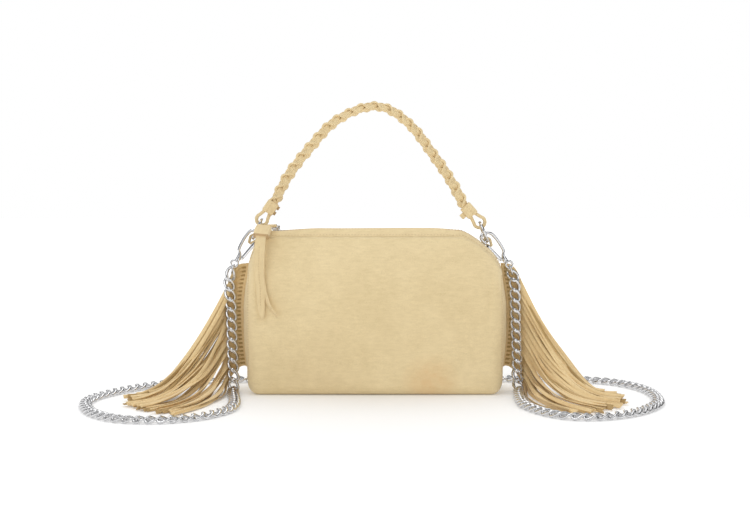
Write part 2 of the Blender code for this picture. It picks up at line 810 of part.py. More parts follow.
def make_handle_end(side):
    last, way, wire = handle_end(side)
    top = last + SLEEVE_SEAT * way
    path = top + np.linspace(0, 1, 2)[:, None] * SLEEVE_LENGTH * way
    wide = np.broadcast_to(np.cross(way, FORWARD), path.shape)
    sleeve = mesh_object(side.name + "_handle_sleeve",
                         *tube(path, wide, SLEEVE_WIDTH / 2, SLEEVE_DEPTH / 2, SLEEVE_SUEDE), suede())
    move_origin(sleeve, handle_axis())
    slack = LEFT_LOOP_SLACK if side.sign < 0 else RIGHT_LOOP_SLACK
    eye = wire - (LOOP_EYE - RING_WIRE - slack) * way
    tip = top + 2.0 * MM * way
    loop = looped_strap(side.name + "_handle_loop", tip, eye, LOOP_EYE, LOOP_SUEDE,
                        min(LOOP_WIDTH, SLEEVE_DEPTH - 2 * SLEEVE_SUEDE - 2 * GAP), 2.6 * MM, suede())
    move_origin(loop, handle_axis())


# Clips

HOOK_POINTS = (
    (0.2 * MM, 4.3 * MM),
    (4.6 * MM, 8.0 * MM),
    (12 * MM, 10.1 * MM),
    (20 * MM, 11.3 * MM),
    (26 * MM, 11.0 * MM),
    (29.8 * MM, 7.8 * MM),
    (31.0 * MM, 4.2 * MM),
    (29.6 * MM, 1.0 * MM),
    (26.0 * MM, 0.0),
    (21.6 * MM, 0.0),
)


def make_clip(side):
    route = smooth_path([side.clip_point(a, b) for a, b in HOOK_POINTS], 2.6 * MM)
    wide = np.broadcast_to(FORWARD, route.shape)
    wire = sweep(route, wide, oval(HOOK_WIRE, HOOK_WIRE, 6))
    foot = hook_foot(side)
    item = union(side.name + "_hook", wire, foot, steel())
    move_origin(item, side.clip_point(0, 0))
    make_gate(side)
    make_swivel(side)


def hook_foot(side):
    """The block under the hook's wire that holds the gate's pin and the swivel."""
    outline = [side.clip_point(a, b) for a, b in (
        (-FOOT_DEPTH, 0.0), (-FOOT_DEPTH, 5.0 * MM), (2.4 * MM, 6.6 * MM), (2.4 * MM, 2.6 * MM),
        (-1.9 * MM, 1.6 * MM), (-1.9 * MM, 0.0))]
    return outline_prism(np.array(outline), GATE_WIDTH)


def make_gate(side):
    ends = [(-1.2 * MM, -1.0 * MM), (GATE_LENGTH, -1.0 * MM), (GATE_LENGTH, 0.7 * MM), (-1.2 * MM, 0.7 * MM)]
    outline = np.array([side.clip_point(a, b) for a, b in ends])
    item = mesh_object(side.name + "_gate", *outline_prism(outline, GATE_WIDTH), steel())
    bevel(item, 0.35 * MM, 1)
    move_origin(item, side.clip_point(0, 0))


def swivel_axis(side):
    """Foot of the hook where the swivel turns, and the way on from there to the chain."""
    return side.clip_point(-FOOT_DEPTH - GAP, SWIVEL_OUT), -side.clip_up


def make_swivel(side):
    top, way = swivel_axis(side)
    path = top + np.linspace(0, 1, 2)[:, None] * COLLAR_LENGTH * way
    wide = np.broadcast_to(FORWARD, path.shape)
    collar = sweep(path, wide, oval(COLLAR_RADIUS, COLLAR_RADIUS, 10))
    centre = top + (COLLAR_LENGTH + EYE_RADIUS) * way
    turn = np.arange(16)[:, None] * 2 * math.pi / 16
    across = np.cross(way, FORWARD)
    ring = centre + EYE_RADIUS * (np.cos(turn) * way + np.sin(turn) * across)
    eye = sweep(ring, np.broadcast_to(FORWARD, ring.shape), oval(EYE_WIRE, EYE_WIRE, 6), closed=True)
    item = union(side.name + "_swivel", collar, eye, steel())
    move_origin(item, top)
    hang = chain_way(side)
    jump = centre + (EYE_RADIUS - EYE_WIRE + JUMP_RADIUS - JUMP_WIRE - GAP) * hang
    normal = np.cross(hang, FORWARD)
    torus(side.name + "_jump_ring", jump, normal, JUMP_RADIUS, JUMP_WIRE, steel(), JUMP_SIDES, 6)


def chain_way(side):
    """Way that the chain hangs from the swivel."""
    return unit(np.array((side.sign * 0.3, 0.0, -1.0)))


def link_seat():
    """How far the first link's end sits below the middle of its jump ring."""
    inside = (JUMP_RADIUS - JUMP_WIRE) * math.cos(math.pi / JUMP_SIDES) - GAP
    return math.sqrt(inside**2 - LINK_RAIL**2) - LINK_RUNG / 2


def chain_top(side):
    """Middle of the first link's end, held in the jump ring."""
    top, way = swivel_axis(side)
    centre = top + (COLLAR_LENGTH + EYE_RADIUS) * way
    drop = EYE_RADIUS - EYE_WIRE + JUMP_RADIUS - JUMP_WIRE - GAP
    drop += link_seat()
    return centre + drop * chain_way(side)


# Chain strap


def chain_route():
    """Points from the left clip down to the floor, round behind the bag and up to the right clip."""
    points = []
    for side in SIDES:
        start = chain_top(side)
        low = (CHAIN_FLOOR_MM[0] if side.sign < 0 else CHAIN_FLOOR_MM[-1])
        foot = np.array((widened(low[0] * MM), low[1] * MM, CHAIN_REST))
        hang = [start, start + 12 * MM * chain_way(side)]
        for height in (86 * MM, 58 * MM, 30 * MM, 12 * MM):
            share = (height - CHAIN_REST) / (start[2] - CHAIN_REST)
            hang.append(np.array((
                foot[0] + (start[0] + side.sign * 3 * MM - foot[0]) * share,
                start[1] - 4 * MM * (1 - share),
                height,
            )))
        points.append(hang)
    floor = [np.array((widened(x * MM), y * MM, CHAIN_REST)) for x, y in CHAIN_FLOOR_MM]
    return points[0] + floor + points[1][::-1]


class ChainLine:
    """The chain's centre line with its flat side, read at any length along it."""

    def __init__(self):
        fine = smooth_path(chain_route(), 1 * MM)
        fine[:, 2] = np.maximum(fine[:, 2], CHAIN_REST)
        self.reach = np.concatenate(([0.0], np.cumsum(np.linalg.norm(np.diff(fine, axis=0), axis=1))))
        self.points = fine
        self.along = tangents(fine)
        steep = smooth_step(np.abs(self.along[:, 2:3]) * 1.4)
        face = (1 - steep) * UP + steep * FORWARD
        self.face = unit(face - (face * self.along).sum(1, keepdims=True) * self.along)
        self.across = np.cross(self.face, self.along)

    def read(self, values, stations):
        return np.stack([np.interp(stations, self.reach, values[:, k]) for k in range(3)], axis=1)

    def place(self, stations, across, height):
        """Points at lengths along the chain, set off sideways and out of its flat side."""
        return (self.read(self.points, stations) + across[:, None] * self.read(self.across, stations)
                + height[:, None] * self.read(self.face, stations))


def chain_layer(line, stations, slant, crossing, sign):
    """One flat side of the chain: ten points a pitch, in the order that chain_faces reads."""
    half = LINK_PITCH / 2
    rung = LINK_RUNG / 2
    parts = (
        (-slant - rung, -HOLE_NECK, crossing),
        (-slant + rung, -HOLE_NECK, crossing),
        (slant - rung, HOLE_NECK, crossing),
        (slant + rung, HOLE_NECK, crossing),
        (-slant, -LINK_NECK, LINK_RAIL),
        (slant, LINK_NECK, LINK_RAIL),
        (-slant + half, -LINK_HALF_WIDTH, LINK_RAIL),
        (slant + half, LINK_HALF_WIDTH, LINK_RAIL),
        (-slant + half, -HOLE_HALF_WIDTH, LINK_RAIL),
        (slant + half, HOLE_HALF_WIDTH, LINK_RAIL),
    )
    ones = np.ones(len(stations))
    columns = []
    for shift, across, height in parts:
        columns.append(line.place(stations + shift, ones * across, ones * sign * height))
    return np.stack(columns, axis=1).reshape(-1, 3)


def chain_faces(rungs):
    """Faces of the fused links: slanted crossings, bowed sides and the holes between them."""
    low = 10 * rungs
    flats = []
    edges = []
    for k in range(rungs):
        left_in, left_out, right_in, right_out, left, right = range(10 * k, 10 * k + 6)
        left_bow, right_bow, left_hole, right_hole = range(10 * k + 6, 10 * k + 10)
        flats.append((left_in, left_out, right_out, right_in))
        flats += [(left, left_out, left_in), (right, right_in, right_out)]
        if k == rungs - 1:
            continue
        after = 10 * (k + 1)
        flats += [
            (left, left_bow, left_hole, left_out),
            (left_bow, after + 4, after, left_hole),
            (right_out, right_hole, right_bow, right),
            (right_hole, after + 2, after + 5, right_bow),
        ]
        hole = (left_out, left_hole, after, after + 2, right_hole, right_out)
        edges += list(zip(hole, hole[1:] + hole[:1]))
        edges += [(left_bow, left), (after + 4, left_bow), (right, right_bow), (right_bow, after + 5)]
    end = 10 * (rungs - 1)
    edges += [(4, 0), (0, 2), (2, 5), (end + 5, end + 3), (end + 3, end + 1), (end + 1, end + 4)]
    faces = [tuple(flat[::-1]) for flat in flats]
    faces += [tuple(low + point for point in flat) for flat in flats]
    faces += [(a, b, low + b, low + a) for a, b in edges]
    return faces


def make_chain():
    """The strap's curb links, fused where they cross, as one body."""
    line = ChainLine()
    rungs = int(line.reach[-1] / LINK_PITCH) + 1
    stations = np.linspace(0.0, line.reach[-1], rungs)
    ends = np.minimum(np.arange(rungs), np.arange(rungs)[::-1])
    slant = LINK_SLANT * np.clip(ends, 0, 1)
    crossing = np.where(ends == 0, LINK_RAIL, LINK_CROSSING)
    top = chain_layer(line, stations, slant, crossing, 1.0)
    bottom = chain_layer(line, stations, slant, crossing, -1.0)
    vertices = np.vstack((top, bottom))
    mesh_object("chain_strap", vertices, chain_faces(rungs), steel())


# Fringes


def strip_path(side, place):
    """One strip's way from its root to the floor; place runs from 0 at the top to 1 at the foot."""
    low, high = 60 * MM, STRIP_LENGTH
    for _ in range(30):
        reach = (low + high) / 2
        path = strip_points(side, place, reach)
        length = np.linalg.norm(np.diff(path, axis=0), axis=1).sum()
        low, high = (reach, high) if length < STRIP_LENGTH else (low, reach)
    return path


def strip_points(side, place, reach):
    """Points of a strip that falls over a plan distance of reach and turns towards the front."""
    root_height = FRINGE_FOOT + (STRIP_COUNT - 1) * STRIP_PITCH * (1 - place) + STRIP_WIDTH / 2
    rest = STRIP_REST + STRIP_STACK * (1 - place)
    turn = math.radians(side.far_turn + (side.near_turn - side.far_turn) * place)
    share = np.array(STRIP_STATIONS)
    fine = np.linspace(0.0, 1.0, 120)
    heading = turn * smooth_step((fine * reach - STRIP_STRAIGHT) / STRIP_TURN) * 1.12
    step = np.diff(fine, prepend=0.0) * reach
    x = np.interp(share, fine, np.cumsum(step * np.cos(heading)))
    y = np.interp(share, fine, -np.cumsum(step * np.sin(heading)))
    aside = (place - 1.0) * STRIP_SPREAD * smooth_step(share * reach / STRIP_STRAIGHT)
    way = np.interp(share, fine, heading)
    root = BODY_HALF_WIDTH + GUSSET_BULGE + GAP + HEADER_DEPTH * 0.5
    dropped = share * smooth_step(share / 0.08)
    return np.stack((
        side.sign * (root + x - aside * np.sin(way)),
        FRINGE_SET_BACK + y - aside * np.cos(way),
        rest + (root_height - rest) * (1 - dropped) ** (1.45 + 1.6 * place),
    ), axis=1)


def strip_shape(path, sign):
    """A flat strip, turned a little about its own length so that each one lies on the next like a tile."""
    along = tangents(path)
    level = unit(np.cross(along, UP))
    upright = np.cross(level, along)
    wide = math.cos(STRIP_ROLL) * upright + sign * math.sin(STRIP_ROLL) * level
    return sweep(path, wide, rectangle(STRIP_WIDTH / 2, STRIP_THICKNESS / 2))


def make_fringe(side):
    strips = []
    for k in range(STRIP_COUNT):
        strips.append(strip_shape(strip_path(side, k / (STRIP_COUNT - 1)), side.sign))
    x = side.sign * (BODY_HALF_WIDTH + GUSSET_BULGE + GAP)
    foot = FRINGE_FOOT
    top = foot + STRIP_COUNT * STRIP_PITCH
    outline = np.array(((x, 0, foot), (x, 0, top), (x + side.sign * HEADER_DEPTH, 0, top),
                        (x + side.sign * HEADER_DEPTH, 0, foot)))
    outline[:, 1] = FRINGE_SET_BACK
    header = outline_prism(outline, 2.4 * MM)
    union(side.name + "_fringe", header, merged(strips), fringe_suede())


def main():
    make_body()
    make_inside()
    make_zip()
    make_slider()
    make_pull()
    make_handle()
    for side in SIDES:
        make_ring(side)
        make_tab(side)
        make_clip(side)
        make_fringe(side)
    make_chain()


clear_scene()
PARTS = new_collection("fringed_suede_bag")
main()
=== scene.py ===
"""Dresses the fringed suede bag: sewn body, zip, plaited handle, clips, curb chain and side fringes.

Metres, +Z up, the bag's front faces -Y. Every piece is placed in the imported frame's own coordinates.
"""
from __future__ import annotations

import logging
import math
from dataclasses import dataclass
from enum import Enum
from typing import Sequence

import bmesh
import bpy
import numpy as np
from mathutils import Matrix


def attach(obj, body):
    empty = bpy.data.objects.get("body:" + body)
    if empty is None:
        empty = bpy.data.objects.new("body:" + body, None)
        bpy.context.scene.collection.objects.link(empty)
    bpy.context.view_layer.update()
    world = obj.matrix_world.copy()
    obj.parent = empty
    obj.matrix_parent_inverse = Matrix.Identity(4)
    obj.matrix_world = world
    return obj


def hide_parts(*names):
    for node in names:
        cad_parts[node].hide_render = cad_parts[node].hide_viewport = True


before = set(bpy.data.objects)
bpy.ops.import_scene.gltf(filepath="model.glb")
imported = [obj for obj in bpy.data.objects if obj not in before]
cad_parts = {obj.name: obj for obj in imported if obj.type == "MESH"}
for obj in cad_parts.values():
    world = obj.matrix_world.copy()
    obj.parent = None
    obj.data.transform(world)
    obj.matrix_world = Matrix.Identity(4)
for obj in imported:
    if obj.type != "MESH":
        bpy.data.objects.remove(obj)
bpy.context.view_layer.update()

LOG = logging.getLogger("fringed_bag")
Array = np.ndarray
Colour = tuple[float, float, float]
MM = 0.001
UP = np.array((0.0, 0.0, 1.0))
FORWARD = np.array((0.0, -1.0, 0.0))
ALONG = np.array((1.0, 0.0, 0.0))
HAIR = 0.3 * MM


class Body(Enum):
    """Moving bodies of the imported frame."""

    BAG = "bag"
    HANDLE = "handle"
    SLIDER = "slider"
    PULL = "pull"


# Shader graph


class Term:
    """A number in a shader that takes part in Python arithmetic."""

    def __init__(self, graph: "Graph", socket: bpy.types.NodeSocket) -> None:
        """Keeps the graph and the socket."""
        self.graph = graph
        self.socket = socket

    def _join(self, operation: str, first: object, second: object) -> "Term":
        """Adds one Math node."""
        made = self.graph.node("Math", {"operation": operation}, {0: first, 1: second})
        return Term(self.graph, made.outputs[0])

    def __add__(self, other: object) -> "Term":
        """Sum."""
        return self._join("ADD", self, other)

    def __radd__(self, other: object) -> "Term":
        """Sum with a number first."""
        return self._join("ADD", other, self)

    def __sub__(self, other: object) -> "Term":
        """Difference."""
        return self._join("SUBTRACT", self, other)

    def __rsub__(self, other: object) -> "Term":
        """Difference from a number."""
        return self._join("SUBTRACT", other, self)

    def __mul__(self, other: object) -> "Term":
        """Product."""
        return self._join("MULTIPLY", self, other)

    def __truediv__(self, other: object) -> "Term":
        """Quotient."""
        return self._join("DIVIDE", self, other)

    def held(self) -> "Term":
        """The value held between 0 and 1."""
        return self._join("MINIMUM", self._join("MAXIMUM", self, 0.0), 1.0)


class Graph:
    """The nodes of one material or world."""

    def __init__(self, owner: bpy.types.Material | bpy.types.World) -> None:
        """Clears the owner's nodes and reads its coordinates.

        Args:
            owner: The material or world.
        """
        self.owner = owner
        owner.use_nodes = True
        self.tree = owner.node_tree
        self.tree.nodes.clear()
        self.place = self.node("TexCoord").outputs["Object"]

    def node(self, kind: str, settings: dict[str, object] | None = None,
             inputs: dict[object, object] | None = None) -> bpy.types.Node:
        """Adds a node, its settings first, then its values and links.

        Args:
            kind: The node's type without the ShaderNode prefix.
            settings: Attributes such as a Math node's operation; "stops" fills a colour ramp.
            inputs: Values, sockets or terms by input name or number.

        Returns:
            The node.
        """
        made = self.tree.nodes.new("ShaderNode" + kind)
        for key, value in (settings or {}).items():
            if key == "stops":
                for stop, (place, colour) in zip(made.color_ramp.elements, value):
                    stop.position = place
                    stop.color = (*colour, 1.0)
            else:
                setattr(made, key, value)
        for key, value in (inputs or {}).items():
            self.plug(made.inputs[key], value)
        return made

    def plug(self, socket: bpy.types.NodeSocket, value: object) -> None:
        """Links a term or socket to an input, or sets its value."""
        if isinstance(value, Term):
            self.tree.links.new(value.socket, socket)
        elif isinstance(value, bpy.types.NodeSocket):
            self.tree.links.new(value, socket)
        else:
            socket.default_value = value

    def noise(self, scale: float, detail: float = 2.0, stretch: Sequence[float] | None = None) -> Term:
        """Noise over the object's own coordinates.

        Args:
            scale: Cells per metre.
            detail: Octaves.
            stretch: Scale of the coordinates along X, Y and Z.

        Returns:
            The noise, about 0.5 on average.
        """
        place = self.place
        if stretch is not None:
            place = self.node("Mapping", None, {"Vector": place, "Scale": stretch}).outputs[0]
        made = self.node("TexNoise", None, {"Vector": place, "Scale": scale, "Detail": detail})
        return Term(self, made.outputs[0])

    def nearness(self, centre: Sequence[float], radius: float) -> Term:
        """One at a point of the object, falling to nothing at the radius."""
        made = self.node("VectorMath", {"operation": "DISTANCE"}, {0: self.place, 1: centre})
        return (1.0 - Term(self, made.outputs["Value"]) / radius).held()

    def mix(self, factor: Term, first: object, second: object) -> bpy.types.NodeSocket:
        """Mixes two colours.

        Args:
            factor: Share of the second colour.
            first: Colour or socket at factor 0.
            second: Colour or socket at factor 1.

        Returns:
            The colour socket.
        """
        made = self.node("Mix", {"data_type": "RGBA"}, {"Factor": factor})
        for socket, value in ((made.inputs[6], first), (made.inputs[7], second)):
            self.plug(socket, (*value, 1.0) if isinstance(value, tuple) else value)
        return made.outputs[2]

    def bump(self, height: Term, depth: float, strength: float = 1.0) -> bpy.types.NodeSocket:
        """A normal from a height.

        Args:
            height: Height from 0 to 1.
            depth: What a height of 1 stands for, in metres.
            strength: Share of the effect.

        Returns:
            The normal socket.
        """
        return self.node("Bump", None, {"Height": height, "Distance": depth, "Strength": strength}).outputs[0]

    def finish(self, fixed: dict[str, object], **varying: object) -> bpy.types.Material:
        """Adds the surface shader and the output.

        Args:
            fixed: Values set on the shader's own sockets.
            **varying: Terms or sockets for base, roughness, normal and glow.

        Returns:
            The material.
        """
        shader = self.node("BsdfPrincipled", None, fixed)
        names = {"base": "Base Color", "roughness": "Roughness", "normal": "Normal", "glow": "Emission Color"}
        for key, value in varying.items():
            self.plug(shader.inputs[names[key]], value)
        self.node("OutputMaterial", None, {"Surface": shader.outputs[0]})
        return self.owner


@dataclass(frozen=True)
class Suede:
    """Napped suede: cloudy tone, brushed streaks, fine grain and a little sheen."""

    name: str
    light: Colour
    dark: Colour
    streak: tuple[float, float, float] = (0.4, 1.0, 1.3)
    grain: float = 1500.0
    marked: bool = False

    def make(self) -> bpy.types.Material:
        """Builds the material.

        Tone is the middle plus broad clouds, finer clouds, brushed streaks and grain, each off its own mean.

        Returns:
            The material.
        """
        graph = Graph(bpy.data.materials.new(self.name))
        broad = graph.noise(14.0, 3.0)
        cloud = graph.noise(70.0, 4.0)
        brushed = graph.noise(330.0, 3.0, self.streak)
        grain = graph.noise(self.grain, 2.0)
        tone = 0.5 + (broad - 0.5) * 0.8 + (cloud - 0.5) * 0.45 + (brushed - 0.5) * 0.75 + (grain - 0.5) * 1.1
        colour = graph.mix(tone.held(), self.dark, self.light)
        specks = ((graph.noise(420.0, 1.0) - 0.7) * 9.0).held() * 0.16
        colour = graph.mix(specks, colour, tuple(0.55 * c for c in self.dark))
        if self.marked:
            rub = graph.nearness((0.054, -0.035, 0.014), 0.03) * graph.noise(120.0, 3.0)
            colour = graph.mix((rub * 0.9).held(), colour, (0.76, 0.46, 0.2))
            scuff = graph.nearness((-0.06, -0.034, 0.02), 0.05) * graph.noise(90.0, 3.0)
            colour = graph.mix((scuff * 0.25).held(), colour, (0.6, 0.44, 0.26))
        height = (grain * 0.6 + brushed * 0.4) + cloud * 0.5
        return graph.finish(
            {"Sheen Weight": 0.22, "Sheen Roughness": 0.55, "Specular IOR Level": 0.2},
            base=colour, roughness=(0.86 + grain * 0.12).held(), normal=graph.bump(height, 0.35 * MM, 0.75))


@dataclass(frozen=True)
class Metal:
    """Bright plated metal with faint handling scratches."""

    name: str
    colour: Colour = (0.72, 0.72, 0.73)
    roughness: float = 0.15

    def make(self) -> bpy.types.Material:
        """Builds the material: roughness is the base value plus clouds and fine streaks."""
        graph = Graph(bpy.data.materials.new(self.name))
        cloud = graph.noise(160.0, 3.0)
        streak = graph.noise(1400.0, 2.0, (1.0, 1.0, 0.15))
        colour = graph.mix(cloud * 0.5, self.colour, tuple(0.82 * c for c in self.colour))
        return graph.finish({"Metallic": 1.0}, base=colour,
                            roughness=(self.roughness + (cloud - 0.5) * 0.14 + (streak - 0.5) * 0.1).held(),
                            normal=graph.bump(streak, 0.03 * MM, 0.3))


@dataclass(frozen=True)
class Cloth:
    """Plain woven cloth: two crossed sets of threads."""

    name: str
    colour: Colour
    pitch: float = 0.7 * MM

    def make(self) -> bpy.types.Material:
        """Builds the material: the height is the mean of two crossed thread waves."""
        graph = Graph(bpy.data.materials.new(self.name))
        turns = 1.0 / self.pitch / 3.2
        waves = []
        for way in "XY":
            inputs = {"Vector": graph.place, "Scale": turns, "Distortion": 0.6, "Detail": 1.0}
            waves.append(Term(graph, graph.node("TexWave", {"bands_direction": way}, inputs).outputs[1]))
        height = waves[0] * 0.5 + waves[1] * 0.5
        tone = (height * 0.5 + graph.noise(90.0, 3.0) * 0.6).held()
        colour = graph.mix(tone, tuple(0.72 * c for c in self.colour), self.colour)
        return graph.finish({"Specular IOR Level": 0.25}, base=colour, roughness=(0.8 + height * 0.12).held(),
                            normal=graph.bump(height, 0.12 * MM))


@dataclass(frozen=True)
class Thread:
    """Sewing thread with its twist."""

    name: str
    colour: Colour

    def make(self) -> bpy.types.Material:
        """Builds the material: a fine noise stands for the twisted plies."""
        graph = Graph(bpy.data.materials.new(self.name))
        ply = graph.noise(4200.0, 1.0)
        colour = graph.mix(ply.held(), tuple(0.7 * c for c in self.colour), self.colour)
        return graph.finish({"Specular IOR Level": 0.35}, base=colour, roughness=(0.55 + ply * 0.2).held(),
                            normal=graph.bump(ply, 0.08 * MM))


class Finishes:
    """Every material, made once."""

    def __init__(self) -> None:
        """Builds the materials."""
        self.suede = Suede("pale_suede", (0.9, 0.74, 0.45), (0.7, 0.55, 0.3), marked=True).make()
        self.strap = Suede("strap_suede", (0.87, 0.71, 0.42), (0.7, 0.53, 0.29),
                           streak=(1.0, 1.0, 0.6), grain=3400.0).make()
        # Dark brown suede that paints shade: the shadow under the pull sleeve's lower edge and the shaded
        # edges of the left sleeve's tabs.
        self.edge = Suede("edge_painted_shade", (0.62, 0.44, 0.24), (0.42, 0.28, 0.13)).make()
        self.fringe = Suede("fringe_suede_nap", (0.94, 0.74, 0.42), (0.74, 0.53, 0.26),
                            streak=(1.0, 1.0, 1.0), grain=1100.0).make()
        # Darker copy of the fringe suede for the rear strips: painted shade behind the front layer.
        self.shade = Suede("fringe_suede_painted_shade", (0.6, 0.42, 0.19), (0.4, 0.26, 0.1)).make()
        # Near-black brown suede for the backing sheet behind the fringe roots: painted shade in the gaps
        # between strips.
        self.root = Suede("fringe_root_painted_shade", (0.34, 0.21, 0.09), (0.2, 0.12, 0.05)).make()
        self.metal = Metal("bright_plate").make()
        self.chain = Metal("chain_plate", (0.74, 0.74, 0.75), 0.13).make()
        self.teeth = Metal("zip_teeth_plate", (0.72, 0.7, 0.66), 0.24).make()
        self.tape = Cloth("tape_weave", (0.62, 0.47, 0.27), 0.55 * MM).make()
        self.lining = Cloth("lining_weave", (0.6, 0.5, 0.36), 0.8 * MM).make()
        self.thread = Thread("sand_thread", (0.8, 0.62, 0.36)).make()
        self.board = Cloth("board_fibre", (0.3, 0.28, 0.25), 1.4 * MM).make()


# Surfaces


def unit(vectors: Array) -> Array:
    """Vectors over their own length."""
    return vectors / np.linalg.norm(vectors, axis=-1, keepdims=True)


def smooth_step(value: Array | float) -> Array:
    """Three times the square less twice the cube, held from 0 to 1."""
    held = np.clip(value, 0.0, 1.0)
    return held * held * (3.0 - 2.0 * held)


def bell(value: Array, middle: float, width: float) -> Array:
    """A bell curve of height one."""
    return np.exp(-(((value - middle) / width) ** 2))


def smooth_path(points: object, step: float) -> Array:
    """Evenly spaced points on a Catmull-Rom curve.

    Between two knots the curve is the cubic whose ends have half the span of their neighbours as slope.

    Args:
        points: Knots, as rows of x, y, z.
        step: Distance between the points returned.

    Returns:
        Rows of x, y, z.
    """
    knots = np.array(points, dtype=float)
    padded = np.vstack((2 * knots[0] - knots[1], knots, 2 * knots[-1] - knots[-2]))
    a, b, c, d = (padded[k:len(padded) - 3 + k, None, :] for k in range(4))
    share = np.linspace(0.0, 1.0, 24, endpoint=False)[None, :, None]
    fine = 0.5 * (2 * b + (c - a) * share + (2 * a - 5 * b + 4 * c - d) * share**2
                  + (3 * b - a - 3 * c + d) * share**3)
    fine = np.vstack((fine.reshape(-1, 3), knots[-1:]))
    return resample(fine, step)


def resample(path: Array, step: float) -> Array:
    """Points of a path at even distances near the step."""
    reach = lengths(path)
    count = max(2, int(round(reach[-1] / step)) + 1)
    stations = np.linspace(0.0, reach[-1], count)
    return np.stack([np.interp(stations, reach, path[:, k]) for k in range(3)], axis=1)


def lengths(path: Array) -> Array:
    """Distance along a path at each of its points."""
    return np.concatenate(([0.0], np.cumsum(np.linalg.norm(np.diff(path, axis=0), axis=1))))


def tangents(path: Array) -> Array:
    """Unit ways along a path."""
    return unit(np.gradient(path, axis=0))


def quads(rows: int, columns: int, close_rows: bool = False, close_columns: bool = False) -> Array:
    """Faces of a grid of points numbered row by row.

    Args:
        rows: Points down the grid.
        columns: Points across the grid.
        close_rows: Joins the last row to the first.
        close_columns: Joins the last column to the first.

    Returns:
        Four point numbers a face.
    """
    r, c = np.meshgrid(np.arange(rows if close_rows else rows - 1),
                       np.arange(columns if close_columns else columns - 1), indexing="ij")
    down = (r + 1) % rows
    on = (c + 1) % columns
    here = r * columns
    below = down * columns
    return np.stack((here + c, here + on, below + on, below + c), -1).reshape(-1, 4)


Shape = tuple[Array, list]


def merged(shapes: Sequence[Shape]) -> Shape:
    """Several point and face lists as one."""
    starts = np.cumsum([0] + [len(points) for points, _ in shapes[:-1]])
    faces = [[int(start) + k for k in face] for start, (_, group) in zip(starts, shapes) for face in group]
    return np.vstack([points for points, _ in shapes]), faces


def sweep(path: Array, wide: Array, section: Array, closed: bool = False,
          scale: Array | None = None) -> Shape:
    """A section carried along a path.

    Each point is the path's point plus the section's first number along wide and its second across it.

    Args:
        path: Rows of x, y, z.
        wide: The section's first way, one row or one for each point.
        section: Rows of two offsets.
        closed: Whether the path is a loop.
        scale: Size of the section at each point, one or two numbers each.

    Returns:
        Points and faces.
    """
    along = unit(np.roll(path, -1, 0) - np.roll(path, 1, 0)) if closed else tangents(path)
    wide = np.broadcast_to(wide, path.shape)
    flat = unit(wide - (wide * along).sum(1, keepdims=True) * along)
    thin = np.cross(along, flat)
    grown = np.ones((len(path), 2))
    if scale is not None:
        grown = grown * scale.reshape(len(path), -1)
    offsets = section[None, :, :] * grown[:, None, :]
    points = path[:, None, :] + offsets[..., :1] * flat[:, None, :] + offsets[..., 1:] * thin[:, None, :]
    sides = len(section)
    faces = quads(len(path), sides, closed, True).tolist()
    if not closed:
        faces += [list(range(sides))[::-1], list(range((len(path) - 1) * sides, len(path) * sides))]
    return points.reshape(-1, 3), faces


def oval(half_wide: float, half_thin: float, count: int) -> Array:
    """Points round an ellipse."""
    turn = np.arange(count) * 2 * math.pi / count
    return np.stack((half_wide * np.cos(turn), half_thin * np.sin(turn)), axis=1)


def slab(half_wide: float, half_thin: float, round_off: float = 0.35 * MM, steps: int = 3) -> Array:
    """Points round a rectangle whose corners are quarter circles."""
    round_off = min(round_off, half_thin * 0.95, half_wide * 0.95)
    turn = np.linspace(0, math.pi / 2, steps)
    corners = [(1, 1, 0.0), (-1, 1, 0.5), (-1, -1, 1.0), (1, -1, 1.5)]
    parts = [np.stack((sx * (half_wide - round_off) + round_off * np.cos(turn + q * math.pi),
                       sy * (half_thin - round_off) + round_off * np.sin(turn + q * math.pi)), 1)
             for sx, sy, q in corners]
    return np.vstack(parts)


def torus(centre: Array, normal: Array, radius: float, wire: float,
          around: int = 64, sides: int = 16) -> Shape:
    """A ring of round wire about a normal."""
    normal = unit(np.array(normal, dtype=float))
    helper = UP if abs(normal[2]) < 0.8 else FORWARD
    first = unit(np.cross(normal, helper))
    second = np.cross(normal, first)
    turn = np.arange(around)[:, None] * 2 * math.pi / around
    path = centre + radius * (np.cos(turn) * first + np.sin(turn) * second)
    return sweep(path, normal, oval(wire, wire, sides), closed=True)


def turned(start: Array, way: Array, profile: Array, sides: int = 24) -> Shape:
    """A solid of revolution: each profile row is a distance along the way and a radius."""
    path = start + profile[:, :1] * way
    helper = FORWARD if abs(way[1]) < 0.8 else UP
    first = unit(np.cross(way, helper))
    second = np.cross(way, first)
    turn = np.arange(sides)[None, :, None] * 2 * math.pi / sides
    points = path[:, None, :] + profile[:, 1][:, None, None] * (np.cos(turn) * first + np.sin(turn) * second)
    faces = quads(len(profile), sides, False, True).tolist()
    faces += [list(range(sides)), list(range((len(profile) - 1) * sides, len(profile) * sides))[::-1]]
    return points.reshape(-1, 3), faces


def piece(name: str, shape: Shape, finish: bpy.types.Material, body: str,
          replaces: Sequence[str] = (), solid: bool = True, sharp: float = 50.0) -> bpy.types.Object:
    """Makes one piece of the object and ties it to the frame.

    Args:
        name: The piece's name.
        shape: Points and faces.
        finish: Its material.
        body: The frame's body that it rides on.
        replaces: CAD nodes that it stands for.
        solid: Whether the faces are turned to agree, and outwards where they close a solid.
        sharp: Angle in degrees past which an edge stays sharp.

    Returns:
        The object.
    """
    mesh = bpy.data.meshes.new(name)
    mesh.from_pydata(shape[0].tolist(), [], shape[1])
    if solid:
        work = bmesh.new()
        work.from_mesh(mesh)
        bmesh.ops.recalc_face_normals(work, faces=work.faces)
        work.to_mesh(mesh)
        work.free()
    mesh.shade_smooth()
    mesh.set_sharp_from_angle(angle=math.radians(sharp))
    mesh.materials.append(finish)
    made = bpy.data.objects.new(name, mesh)
    bpy.context.scene.collection.objects.link(made)
    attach(made, body)
    if replaces:
        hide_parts(*replaces)
    LOG.info("%s: %d faces on %s", name, len(mesh.polygons), body)
    return made


